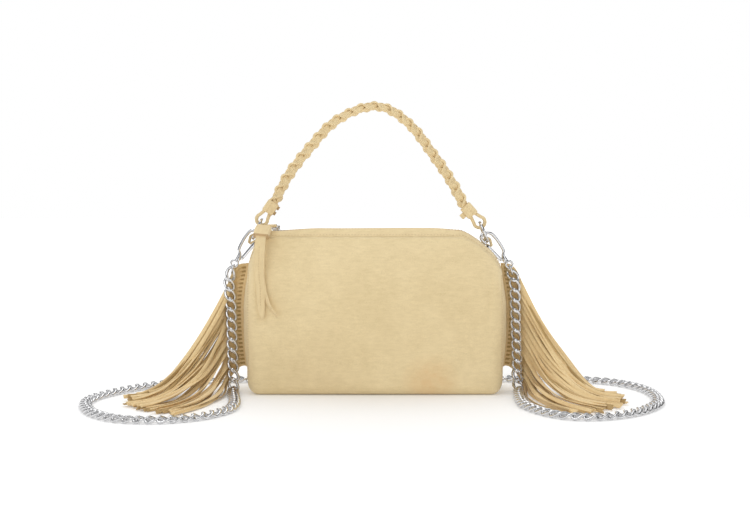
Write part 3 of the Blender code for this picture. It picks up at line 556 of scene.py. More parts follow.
def thicken(item: bpy.types.Object, thickness: float) -> None:
    """Gives a sheet its wall, inwards from its faces."""
    wall = item.modifiers.new("wall", "SOLIDIFY")
    wall.thickness = thickness
    wall.offset = -1.0
    wall.use_even_offset = True


STITCH_RINGS = 5
STITCH_SIDES = 6


def stitches(path: Array, normals: Array, pitch: float, run: float, radius: float) -> Shape:
    """A row of short raised stitches.

    Each stitch is a six-sided tube. Its middle stands proud of the surface by its own radius, and its ends
    dip in.

    Args:
        path: Rows of x, y, z along the seam.
        normals: The surface's outward way at each row.
        pitch: Distance from stitch to stitch.
        run: Length of one stitch.
        radius: Half the thread's thickness.

    Returns:
        Points and faces of the whole row.
    """
    reach = lengths(path)
    count = max(1, int(reach[-1] / pitch))
    middle = (np.arange(count) + 0.5) * reach[-1] / count
    share = np.linspace(-1, 1, STITCH_RINGS)
    offsets = np.linspace(-0.5, 0.5, STITCH_RINGS) * run
    stations = middle[:, None] + offsets[None, :]
    spot = np.stack([np.interp(stations, reach, path[:, k]) for k in range(3)], -1)
    out = unit(np.stack([np.interp(stations, reach, normals[:, k]) for k in range(3)], -1))
    along = unit(np.gradient(spot, axis=1))
    across = np.cross(out, along)
    rise = radius * (1.0 - 2.2 * np.abs(share) ** 4)
    size = radius * (1.0 - 0.45 * np.abs(share) ** 3)
    turn = np.arange(STITCH_SIDES)[:, None] * 2 * math.pi / STITCH_SIDES
    ring = np.cos(turn) * across[:, :, None, :] + np.sin(turn) * out[:, :, None, :]
    points = (spot + rise[None, :, None] * out)[:, :, None, :] + size[None, :, None, None] * ring
    total = STITCH_RINGS * STITCH_SIDES
    one = quads(STITCH_RINGS, STITCH_SIDES, False, True).tolist()
    one += [list(range(STITCH_SIDES)), list(range(total - STITCH_SIDES, total))[::-1]]
    faces = [[total * k + n for n in face] for k in range(count) for face in one]
    return points.reshape(-1, 3), faces


# The bag and its zip


@dataclass(frozen=True)
class BagForm:
    """Outside form of the stuffed bag, shared by its panels, gussets, bands and seams."""

    half_width: float = 126 * MM
    half_depth: float = 35 * MM
    end_round: float = 12 * MM
    base_round: float = 11 * MM
    seam_half_depth: float = 20 * MM
    seam_height: float = 155 * MM
    zip_height: float = 160 * MM
    tape_half_width: float = 5.8 * MM
    swell: float = 2.6 * MM
    lip: float = 1.6 * MM
    bulge: float = 5.5 * MM
    left_shoulder: tuple[float, float, float] = (100 * MM, 26 * MM, 2.2)
    right_shoulder: tuple[float, float, float] = (85 * MM, 30 * MM, 1.4)

    def panel_half_depth(self, height: Array) -> Array:
        """Half the depth at a height: full to 40 mm, then drawn in with the fourth power of the rise."""
        waist = 40 * MM
        rise = np.clip((height - waist) / (self.seam_height - waist), 0.0, 1.0)
        return self.half_depth - (self.half_depth - self.seam_half_depth) * rise**4

    def panel_section(self) -> Array:
        """The front panel from its top seam, round the base to the back seam, as rows of y and z."""
        heights = np.linspace(self.seam_height, self.base_round, 46)
        wall = np.stack((self.panel_half_depth(heights), heights), 1)
        centre = self.half_depth - self.base_round
        turn = np.linspace(0, math.pi / 2, 9)[1:]
        corner = np.stack((centre + self.base_round * np.cos(turn), self.base_round * (1 - np.sin(turn))), 1)
        base = np.stack((np.linspace(centre, 0.0, 7)[1:], np.zeros(6)), 1)
        half = np.vstack((wall, corner, base))
        return np.vstack((half * (-1, 1), half[-2::-1]))

    def band_section(self) -> Array:
        """The zip band from the tape's edge over its crest to the seam, as rows of y and z."""
        knots = np.array(((0, self.tape_half_width + HAIR, self.zip_height - 0.4 * MM),
                          (0, self.tape_half_width + 1.6 * MM, self.zip_height + 0.1 * MM),
                          (0, 0.62 * self.seam_half_depth, self.zip_height),
                          (0, self.seam_half_depth - 1.6 * MM, self.seam_height + 1.2 * MM),
                          (0, self.seam_half_depth - HAIR, self.seam_height + HAIR)))
        return smooth_path(knots, 0.9 * MM)[:, 1:]

    def stations(self, count: int = 120) -> tuple[Array, Array]:
        """X along the bag with the inset of the rounded ends.

        Args:
            count: Points along the flat middle.

        Returns:
            X and inset, one each a station.
        """
        flat = self.half_width - self.end_round
        turn = np.linspace(0, math.pi / 2, 10)[1:]
        right = flat + self.end_round * np.sin(turn)
        inset = self.end_round * (1 - np.cos(turn))
        x = np.concatenate((-right[::-1], np.linspace(-flat, flat, count), right))
        return x, np.concatenate((inset[::-1], np.zeros(count), inset))

    def lipped_stations(self) -> tuple[Array, Array]:
        """Stations with one more at each end, where the sheet turns in by its lip."""
        x, inset = self.stations()
        lip = [self.end_round + self.lip]
        return np.concatenate((x[:1], x, x[-1:])), np.concatenate((lip, inset, lip))

    def drop(self, x: Array) -> Array:
        """How far a shoulder has sunk at x: its depth times its own power of the way to the end."""
        total = np.zeros_like(x)
        for sign, (start, depth, power) in ((-1, self.left_shoulder), (1, self.right_shoulder)):
            reach = np.clip((sign * x - start) / (self.half_width - start), 0.0, 1.0)
            total = total + depth * reach**power
        return total

    def place(self, section: Array, x: Array, inset: Array) -> Array:
        """Places a section at each station.

        The section shrinks about the middle height by the inset. It swells along the zip bands and sinks at
        the shoulders.

        Args:
            section: Rows of y and z.
            x: X of each station.
            inset: Inset of each station.

        Returns:
            Points as stations by section rows by three.
        """
        centre = self.zip_height / 2
        x = x[:, None]
        inset = inset[:, None]
        y = section[None, :, 0] * (1 - inset / self.half_depth)
        z = centre + (section[None, :, 1] - centre) * (1 - inset / centre)
        crest = bell(np.abs(y), 0.62 * self.seam_half_depth, 5 * MM) * (z > 0.9 * self.seam_height)
        z = z + self.swell * crest * (1 - smooth_step((np.abs(x) - 55 * MM) / (45 * MM)))
        lowered = smooth_step((z - 88 * MM) / (self.zip_height - 88 * MM))
        z = z - self.drop(x) * lowered
        return np.stack((np.broadcast_to(x, y.shape), y, z), -1)

    def end_outline(self, sign: int) -> Array:
        """Outline of an end of the bag, just inside the wrap's lip."""
        band = self.band_section()
        panel = self.panel_section()
        half = panel[:len(panel) // 2 + 1] * (-1, 1)
        top = np.stack((np.linspace(0.0, self.tape_half_width, 4), np.full(4, self.zip_height)), 1)
        side = np.vstack((top, band, half))
        ring = np.vstack((side, side[-2:0:-1] * (-1, 1)))
        inset = np.array([self.end_round + self.lip + HAIR])
        return self.place(ring, np.array([sign * self.half_width]), inset)[0]

    def end_bulge(self, height: float, sign: int) -> float:
        """How far an end swells out at a height: the full bulge less the square of the way to the rim."""
        outline = self.end_outline(sign)
        middle = outline[:, 2].mean()
        rim = outline[:, 2].max() if height > middle else outline[:, 2].min()
        share = (height - middle) / (rim - middle)
        return self.bulge * max(0.0, 1 - (share / 0.93) ** 2)

    def surface_point(self, x: Array, y: Array, z: Array, inset: Array) -> Array:
        """Places separate points, each with its own inset."""
        centre = self.zip_height / 2
        y = y * (1 - inset / self.half_depth)
        z = centre + (z - centre) * (1 - inset / centre)
        lowered = smooth_step((z - 88 * MM) / (self.zip_height - 88 * MM))
        return np.stack((x, y, z - self.drop(x) * lowered), -1)


@dataclass
class BagBody:
    """The sewn body: front-base-back wrap, end gussets, zip bands, closures past the zip's ends and seams."""

    form: BagForm
    finishes: Finishes
    suede: float = 1.8 * MM
    zip_ends: tuple[float, float] = (-101 * MM, 83 * MM)

    def build(self) -> None:
        """Makes every piece of the body."""
        self.wrap()
        self.bands()
        for sign, name in ((-1, "left"), (1, "right")):
            self.gusset(sign, name)
            self.closure(sign, name)
        self.seams()

    def wrap(self) -> None:
        """The wrap: panels a little crowned, with slack ripples and the fold beside the right edge."""
        form = self.form
        x, inset = form.lipped_stations()
        grid = form.place(form.panel_section(), x, inset)
        flat = 1 - smooth_step((np.abs(grid[..., 0]) - 100 * MM) / (24 * MM))
        wall = smooth_step((np.abs(grid[..., 1]) - 17 * MM) / (12 * MM)) * np.sin(
            np.clip(grid[..., 2] / (150 * MM), 0, 1) * math.pi)
        crown = 1.1 * MM * flat * wall
        ripple = 0.24 * MM * wall * (
            np.sin(grid[..., 0] / (31 * MM) + 1.3 * np.sin(grid[..., 2] / (40 * MM)))
            + 0.7 * np.sin(grid[..., 0] / (14 * MM) - grid[..., 2] / (27 * MM)))
        fold = 1.5 * MM * bell(grid[..., 0], 115 * MM - 4 * MM * np.sin(grid[..., 2] / (38 * MM)), 3.4 * MM)
        fold = fold * smooth_step((grid[..., 2] - 55 * MM) / (30 * MM))
        fold = fold * smooth_step((141 * MM - grid[..., 2]) / (14 * MM))
        fold = fold * (grid[..., 1] < 0)
        grid[..., 1] += np.sign(grid[..., 1]) * (crown + ripple * flat - fold)
        rows, columns = grid.shape[:2]
        faces = quads(rows, columns)[:, ::-1]
        item = piece("suede_wrap", (grid.reshape(-1, 3), faces.tolist()), self.finishes.suede, Body.BAG.value,
                     ["body_wrap"], solid=False)
        self.outward(item)
        thicken(item, self.suede)

    @staticmethod
    def outward(item: bpy.types.Object) -> None:
        """Turns a sheet over when most of its faces look at the bag's middle."""
        mesh = item.data
        count = len(mesh.polygons)
        centres = np.empty(count * 3)
        normals = np.empty(count * 3)
        mesh.polygons.foreach_get("center", centres)
        mesh.polygons.foreach_get("normal", normals)
        away = centres.reshape(-1, 3) - np.array((0.0, 0.0, 80 * MM))
        if (away * normals.reshape(-1, 3)).sum() < 0:
            mesh.flip_normals()

    def bands(self) -> None:
        """The two bands beside the zip."""
        form = self.form
        x, inset = form.lipped_stations()
        for sign, name in ((-1, "front"), (1, "back")):
            grid = form.place(form.band_section() * (sign, 1), x, inset)
            crest = bell(np.abs(grid[..., 1]), 12 * MM, 4 * MM)
            grid[..., 2] += 0.25 * MM * np.sin(grid[..., 0] / (23 * MM)) * crest
            faces = quads(*grid.shape[:2])
            item = piece(f"{name}_band_suede", (grid.reshape(-1, 3), faces.tolist()), self.finishes.suede,
                         Body.BAG.value, [f"{name}_zip_band"], solid=False)
            self.outward(item)
            thicken(item, self.suede)

    def closure(self, sign: int, name: str) -> None:
        """The suede between the bands past one end of the zip, tucked under their edges."""
        form = self.form
        x, inset = form.lipped_stations()
        keep = sign * x > sign * (self.zip_ends[0] if sign < 0 else self.zip_ends[1])
        edge = form.tape_half_width + 1.2 * MM
        y = np.linspace(-edge, edge, 7)
        grid = form.place(np.stack((y, np.full(7, form.zip_height - 1.3 * MM)), 1), x[keep], inset[keep])
        item = piece(f"{name}_zip_closure", (grid.reshape(-1, 3), quads(*grid.shape[:2]).tolist()),
                     self.finishes.suede, Body.BAG.value, solid=False)
        self.outward(item)
        thicken(item, 1.4 * MM)

    def gusset(self, sign: int, name: str) -> None:
        """An end gusset: rings of the end's outline shrunk to its middle, bulged and puckered."""
        form = self.form
        outline = form.end_outline(sign)
        centre = outline.mean(axis=0)
        shares = np.array((1.0, 0.97, 0.93, 0.86, 0.76, 0.64, 0.5, 0.35, 0.18, 0.004))
        rows = centre + (outline - centre)[None] * shares[:, None, None]
        swell = form.bulge * np.clip(1 - (shares / 0.93) ** 2, 0.0, 1.0)
        turn = np.arctan2(rows[..., 2] - centre[2], rows[..., 1] - centre[1])
        pucker = 0.25 * MM * np.sin(9 * turn) * (shares * (1 - shares) * 4)[:, None]
        rows[..., 0] += sign * (swell[:, None] + pucker)
        faces = quads(len(shares), len(outline), False, True).tolist()
        faces.append(list(range((len(shares) - 1) * len(outline), len(shares) * len(outline))))
        item = piece(f"{name}_end_suede", (rows.reshape(-1, 3), faces), self.finishes.suede, Body.BAG.value,
                     [f"{name}_gusset"])
        self.outward(item)
        thicken(item, self.suede)

    def seams(self) -> None:
        """Every row of stitching on the body, as one piece."""
        form = self.form
        rows: list[Shape] = []
        x, inset = form.stations(90)
        band = form.band_section()
        keep = np.abs(x) < form.half_width - 1 * MM
        for sign in (-1, 1):
            grid = form.place(band * (sign, 1), x, inset)[keep]
            for spot in (-3, 3):
                row = grid[:, spot]
                beside = grid[:, spot + 1] - grid[:, spot - 1]
                way = unit(np.cross(np.gradient(row, axis=0), beside))
                way *= np.sign(way[:, 2:3])
                rows.append(stitches(row, way, 3.1 * MM, 2.1 * MM, 0.34 * MM))
            height = np.linspace(146 * MM, 18 * MM, 60)
            turn = math.radians(58)
            back = form.end_round * (1 - math.cos(turn))
            out = form.half_width - form.end_round + form.end_round * math.sin(turn)
            for end in (-1, 1):
                across = np.full(len(height), end * out)
                depth = sign * form.panel_half_depth(height)
                row = form.surface_point(across, depth, height, np.full(len(height), back))
                way = np.broadcast_to(unit(np.array((end * 0.85, sign * 0.53, 0.0))), row.shape)
                rows.append(stitches(row, way, 2.6 * MM, 1.8 * MM, 0.34 * MM))
        piece("seam_stitching", merged(rows), self.finishes.thread, Body.BAG.value)


@dataclass
class Zip:
    """Zip: two rows of teeth, the slider, and its suede pull."""

    form: BagForm
    finishes: Finishes
    start: float = -102 * MM
    end: float = 84 * MM
    tooth_pitch: float = 1.55 * MM
    slider: tuple[float, float, float] = (8.5 * MM, 7.0 * MM, 2.4 * MM)
    stop: float = 3 * MM
    ring: float = 4.2 * MM
    wire: float = 0.8 * MM
    teeth_thickness: float = 2.2 * MM
    strap_width: float = 10 * MM
    strap: float = 1.5 * MM

    def axis(self) -> Array:
        """Where the pull ring passes under the slider's bridge."""
        top = self.form.zip_height + self.teeth_thickness / 2 + HAIR + self.slider[2]
        return np.array((self.start + self.stop, 0.0, top + HAIR + self.wire))

    def build(self) -> None:
        """Makes the zip and its pull."""
        self.teeth()
        self.make_slider()
        self.pull()

    def teeth(self) -> None:
        """Interlocked teeth: rounded blocks on a pitch, every other one set to the other side."""
        section = slab(0.52 * MM, 0.95 * MM, 0.3 * MM, 2)
        count = int((self.end - self.start) / self.tooth_pitch)
        x = self.start + (np.arange(count) + 0.5) * self.tooth_pitch
        shift = np.where(np.arange(count) % 2, 0.5, -0.5) * MM
        line = np.array(((0, -1.75, 0), (0, -1.5, 0), (0, 1.5, 0), (0, 1.75, 0))) * MM
        one, faces = sweep(line, ALONG, section, scale=np.array((0.75, 1.0, 1.0, 0.75)))
        centre = np.stack((x, shift, np.full(count, self.form.zip_height)), 1)
        points = (centre[:, None, :] + one[None]).reshape(-1, 3)
        cord = sweep(np.array(((self.start, 0, self.form.zip_height - 0.4 * MM),
                               (self.end, 0, self.form.zip_height - 0.4 * MM))), UP, slab(0.4 * MM, 2.1 * MM))
        group = [[len(one) * k + n for n in face] for k in range(count) for face in faces]
        piece("zip_teeth_rows", merged([(points, group), cord]), self.finishes.teeth, Body.BAG.value,
              ["zip_teeth"])

    def make_slider(self) -> None:
        """Slider with rounded ends, a waisted body and its bridge."""
        length, width, height = self.slider
        foot = self.form.zip_height + self.teeth_thickness / 2 + HAIR
        x = self.start + self.stop
        share = np.linspace(-1, 1, 15)
        path = np.stack((x + share * length / 2, np.zeros(15), np.full(15, foot + height / 2)), 1)
        wide = np.clip(1.0 - 0.16 * (1 - share**2) - 0.4 * np.abs(share) ** 9, 0.4, 1.0)
        tall = np.clip(1.0 - 0.35 * np.abs(share) ** 7, 0.5, 1.0)
        plate = sweep(path, FORWARD, slab(width / 2, height / 2, 0.6 * MM, 4),
                      scale=np.stack((wide, tall), 1))
        turn = np.radians(np.linspace(-8, 188, 19))
        rise = foot + height - 0.5 * MM + 3.4 * MM * np.sin(turn)
        arch = np.stack((np.full(len(turn), x), 2.6 * MM * np.cos(turn), rise), 1)
        bridge = sweep(arch, ALONG, slab(1.3 * MM, 0.5 * MM, 0.3 * MM))
        piece("slider_body", merged([plate, bridge]), self.finishes.metal, Body.SLIDER.value,
              ["zip_slider"])

    def main_route(self) -> Array:
        """Way of the under tail: off the ring, over the band and down the front."""
        x, y, z = self.axis()
        face = -self.form.half_depth - 3.2 * MM
        return np.array((
            (x - 0.4 * MM, y - 2 * self.ring - self.wire - 3 * HAIR, z),
            (x - 2.6 * MM, -14 * MM, 166.4 * MM), (x - 9.2 * MM, -22 * MM, 164.2 * MM),
            (x - 11.4 * MM, -31.5 * MM, 158 * MM), (x - 12.4 * MM, face + 1.2 * MM, 148 * MM),
            (x - 13.2 * MM, face, 124 * MM), (x - 11.8 * MM, face, 105 * MM),
            (x - 11.5 * MM, face, 88 * MM), (x - 10.2 * MM, face, 76.5 * MM)))

    def tail_route(self) -> Array:
        """Way of the upper tail, which curls off to the side."""
        x = self.axis()[0]
        face = -self.form.half_depth - 3.2 * MM
        return np.array((
            (x - 12.3 * MM, face + 2.0 * MM, 150 * MM), (x - 12.2 * MM, face + 1.6 * MM, 130 * MM),
            (x - 10.0 * MM, face + 1.2 * MM, 112 * MM), (x - 8.0 * MM, face + 0.1 * MM, 101 * MM),
            (x - 3.2 * MM, face - 1.6 * MM, 89 * MM), (x + 4.5 * MM, face - 2.6 * MM, 78.5 * MM)))

    def pull(self) -> None:
        """Pull ring, both tails of the folded suede, its sleeve and its stitching."""
        body, slot = Body.PULL.value, "suede"
        centre = self.axis() + self.ring * FORWARD
        piece("pull_ring_wire", torus(centre, UP, self.ring, self.wire, 40, 12), self.finishes.metal, body,
              ["zip_pull_ring"])
        route = smooth_path(self.main_route(), 1.2 * MM)
        reach = lengths(route) / lengths(route)[-1]
        wide = np.interp(reach, (0, 0.1, 0.2, 0.45, 0.62, 0.78, 0.9, 0.97, 1.0),
                         (0.5, 0.6, 1.02, 1.0, 0.9, 0.84, 0.72, 0.5, 0.22))
        front = sweep(route, ALONG, slab(self.strap_width / 2, self.strap / 2, 0.3 * MM),
                      scale=np.stack((wide, np.ones(len(route))), 1))
        curl = smooth_path(self.tail_route(), 1.2 * MM)
        share = lengths(curl) / lengths(curl)[-1]
        twist = np.radians(46) * smooth_step((share - 0.42) / 0.4)
        way = np.cos(twist)[:, None] * ALONG + np.sin(twist)[:, None] * FORWARD
        back = sweep(curl, way, slab(self.strap_width * 0.4, self.strap * 0.42, 0.3 * MM),
                     scale=np.stack((1.0 - 0.35 * smooth_step((share - 0.3) / 0.2)
                                      - 0.25 * smooth_step((share - 0.7) / 0.3), np.ones(len(curl))), 1))
        piece("pull_tails", merged([front, back]), self.finishes.strap, body, ["pull_strap"])
        part = route[(route[:, 2] < 166.9 * MM) & (route[:, 1] < -21.5 * MM)][:12]
        sleeve = sweep(part, ALONG, slab(7.6 * MM, 3.0 * MM, 1.1 * MM, 4))
        piece("pull_sleeve", sleeve, self.finishes.strap, body, ["pull_keeper"])
        # A thin dark band at the sleeve's lower edge: painted shadow of the sleeve on the strap.
        rim = sweep(np.linspace(part[-1], part[-1] + (part[-1] - part[-2]) * 0.7, 3), ALONG,
                    slab(7.7 * MM, 3.1 * MM, 1.1 * MM, 4))
        piece("pull_sleeve_shade_rim", rim, self.finishes.edge, body)
        seam = route[(route[:, 2] < 148 * MM) & (route[:, 2] > 88 * MM)]
        seam = seam + np.array((-0.4 * MM, -0.72 * MM, 0))
        sewn = stitches(seam, np.broadcast_to(FORWARD, seam.shape), 2.6 * MM, 1.8 * MM, 0.3 * MM)
        piece("pull_stitching", sewn, self.finishes.thread, body)


# Handle, rings and clips


@dataclass(frozen=True)
class End:
    """One end of the bag: its ring and the clip and fringe there."""

    name: str
    sign: int
    ring: tuple[float, float]
    ring_lean: float
    clip_lean: float
    ring_radius: float = 10.2 * MM
    clip_along: float = 31.5 * MM
    clip_across: float = 7.0 * MM
    clip_plane: float = -6.0 * MM

    @property
    def centre(self) -> Array:
        """Middle of the ring."""
        return np.array((self.ring[0], 0.0, self.ring[1]))

    @property
    def ring_up(self) -> Array:
        """Way from the ring's middle to its top."""
        lean = math.radians(self.ring_lean)
        return np.array((-self.sign * math.sin(lean), 0.0, math.cos(lean)))

    @property
    def clip_up(self) -> Array:
        """Way from the clip's foot to its crown."""
        lean = math.radians(self.clip_lean)
        return np.array((-self.sign * math.sin(lean), 0.0, math.cos(lean)))

    @property
    def clip_out(self) -> Array:
        """Way from the clip's gate to its wire."""
        lean = math.radians(self.clip_lean)
        return np.array((self.sign * math.cos(lean), 0.0, math.sin(lean)))

    def clip_point(self, along: float, out: float) -> Array:
        """A point in the clip's own plane."""
        seat = self.centre - self.clip_along * self.clip_up - self.clip_across * self.clip_out
        point = seat + along * self.clip_up + out * self.clip_out
        return np.array((point[0], self.clip_plane, point[2]))

    def chain_way(self) -> Array:
        """Way that the chain hangs from the clip."""
        return unit(np.array((self.sign * 0.3, 0.0, -1.0)))


LEFT = End("left", -1, (-117.3 * MM, 162.0 * MM), ring_lean=25, clip_lean=40)
RIGHT = End("right", 1, (108.3 * MM, 159.1 * MM), ring_lean=22, clip_lean=44.7)


def strap_loop(tip: Array, centre: Array, radius: float, width: float, thick: float) -> Shape:
    """A strap folded round a centre with both layers pressed together at the tip.

    Args:
        tip: Middle of the two layers' ends.
        centre: Middle of the eye.
        radius: Distance from the centre to the middle of the strap's thickness.
        width: The strap's width.
        thick: The strap's thickness.

    Returns:
        Points and faces.
    """
    axis = unit(tip - centre)
    across = np.cross(axis, FORWARD)
    lean = 0.95
    turns = np.linspace(lean, 2 * math.pi - lean, 11)
    curve = [centre + radius * (math.cos(t) * axis + math.sin(t) * across) for t in turns]
    half = thick * 0.54
    waist = centre + 0.8 * (tip - centre)
    knots = [tip + half * across, waist + half * across, *curve, waist - half * across, tip - half * across]
    path = smooth_path(knots, 0.7 * MM)
    return sweep(path, FORWARD, slab(width / 2, thick / 2, 0.45 * MM, 3))


@dataclass
class Handle:
    """Arched handle: three plaited strands, a sleeve and a ring loop at each end."""

    finishes: Finishes
    pitch: float = 39 * MM
    side: float = 3.0 * MM
    shingle: float = 0.2
    lap: float = math.radians(-24)
    depth: float = 2.1 * MM
    half_wide: float = 3.9 * MM
    half_thin: float = 1.1 * MM
    turn_out: float = math.radians(56)
    inside: float = 5 * MM
    roll: float = math.radians(90)
    points: tuple[tuple[float, float], ...] = (
        (-99.6, 190.2), (-85.8, 216.0), (-63.9, 244.0), (-40.4, 268.4), (-11.0, 282.5), (13.0, 281.2),
        (36.9, 263.5), (57.9, 236.0), (75.8, 210.0), (88.4, 186.4))

    def build(self) -> None:
        """Makes the plait and both ends."""
        self.plait()
        for end in (LEFT, RIGHT):
            self.end(end)

    def plait(self) -> None:
        """Each flat strand swings to the side as a sine and in depth as the sine of twice the angle.

        It rolls over round each edge of the plait by its roll times one less the cosine. The plait is turned
        so that its outer edge shows from the front.
        """
        knots = [np.array((x * MM, 0.0, z * MM)) for x, z in self.points]
        left, right = (last + self.inside * way for last, _, way in (self.foot(LEFT), self.foot(RIGHT)))
        route = smooth_path([left, *knots, right], 1.1 * MM)
        reach = lengths(route)
        aside = np.cross(tangents(route), FORWARD)
        slim = 1 - 0.2 * bell(reach, 0.5 * reach[-1], 52 * MM)
        slim = slim * (0.66 + 0.34 * smooth_step((np.minimum(reach, reach[-1] - reach) - 2 * MM) / (7 * MM)))
        edge = math.sin(self.turn_out) * FORWARD - math.cos(self.turn_out) * aside
        flat = np.cross(tangents(route), edge)
        for k in range(3):
            turn = 2 * math.pi * reach / self.pitch + k * 2 * math.pi / 3
            aside_by = self.side * slim * (np.sin(turn) + self.shingle * np.sin(2 * turn))
            path = route + aside_by[:, None] * edge
            path = path - (self.depth * np.sin(2 * turn))[:, None] * flat
            roll = self.lap + self.roll * (1 - np.cos(turn))
            wide = np.cos(roll)[:, None] * edge + np.sin(roll)[:, None] * flat
            uneven = slim * (1.0 + 0.04 * np.sin(reach / (5.3 * MM) + k))
            shape = sweep(path, wide, slab(self.half_wide, self.half_thin, 0.6 * MM, 3),
                          scale=np.stack((uneven, uneven), 1))
            piece(f"plait_strand_{k + 1}", shape, self.finishes.strap, Body.HANDLE.value,
                  [f"braid_strand_{k + 1}"])

    def foot(self, end: End) -> tuple[Array, Array, Array]:
        """The plait's last point, the top of the ring and the way from one to the other."""
        x, z = self.points[0 if end.sign < 0 else -1]
        last = np.array((x * MM, 0.0, z * MM))
        wire = end.centre + end.ring_radius * end.ring_up
        return last, wire, unit(wire - last)

    def end(self, end: End) -> None:
        """Sleeve, its lapped flap and the loop round the ring."""
        last, wire, way = self.foot(end)
        across = np.cross(way, FORWARD)
        top = last + 1.65 * MM * way
        share = np.linspace(0, 1, 15)
        path = top + share[:, None] * 12.5 * MM * way
        edge = 1 - 0.06 * (np.abs(2 * share - 1) ** 8)
        sleeve = sweep(path, across, slab(5.9 * MM, 4.7 * MM, 1.6 * MM, 5), scale=edge)
        piece(f"{end.name}_sleeve_wrap", sleeve, self.finishes.strap, Body.HANDLE.value,
              [f"{end.name}_handle_sleeve"])
        flap_path = path[1:-1] + 4.75 * MM * FORWARD - 2.0 * MM * across * np.sign(across[0]) * end.sign
        flap = sweep(flap_path, across, slab(3.8 * MM, 0.5 * MM, 0.3 * MM))
        piece(f"{end.name}_sleeve_flap", flap, self.finishes.strap, Body.HANDLE.value)
        inner = -end.sign * across * np.sign(across[0])
        spans = ((path[1:6], 1.6), (path[8:13], 1.6)) if end.sign < 0 else ((path[4:11], 3.2),)
        tabs = [sweep(part + (5.6 + reach / 2) * MM * inner + 1.2 * MM * FORWARD, across,
                      slab(reach * MM, 1.5 * MM, 0.4 * MM)) for part, reach in spans]
        # The left sleeve's tabs take the dark edge suede as painted shade; the right sleeve's tabs keep the
        # strap suede.
        finish = self.finishes.edge if end.sign < 0 else self.finishes.strap
        piece(f"{end.name}_sleeve_edges", merged(tabs), finish, Body.HANDLE.value)
        line = path[1:-1] + 5.2 * MM * FORWARD + 0.9 * MM * across * np.sign(across[0]) * end.sign
        sewn = stitches(line, np.broadcast_to(FORWARD, line.shape), 2.2 * MM, 1.5 * MM, 0.28 * MM)
        piece(f"{end.name}_flap_stitching", sewn, self.finishes.thread, Body.HANDLE.value)
        eye = wire - 0.6 * MM * way
        tip = top + 4.0 * MM * way
        loop = strap_loop(tip, eye, 5.6 * MM, 5.0 * MM, 3.2 * MM)
        piece(f"{end.name}_loop_strap", loop, self.finishes.strap, Body.HANDLE.value,
              [f"{end.name}_handle_loop"])


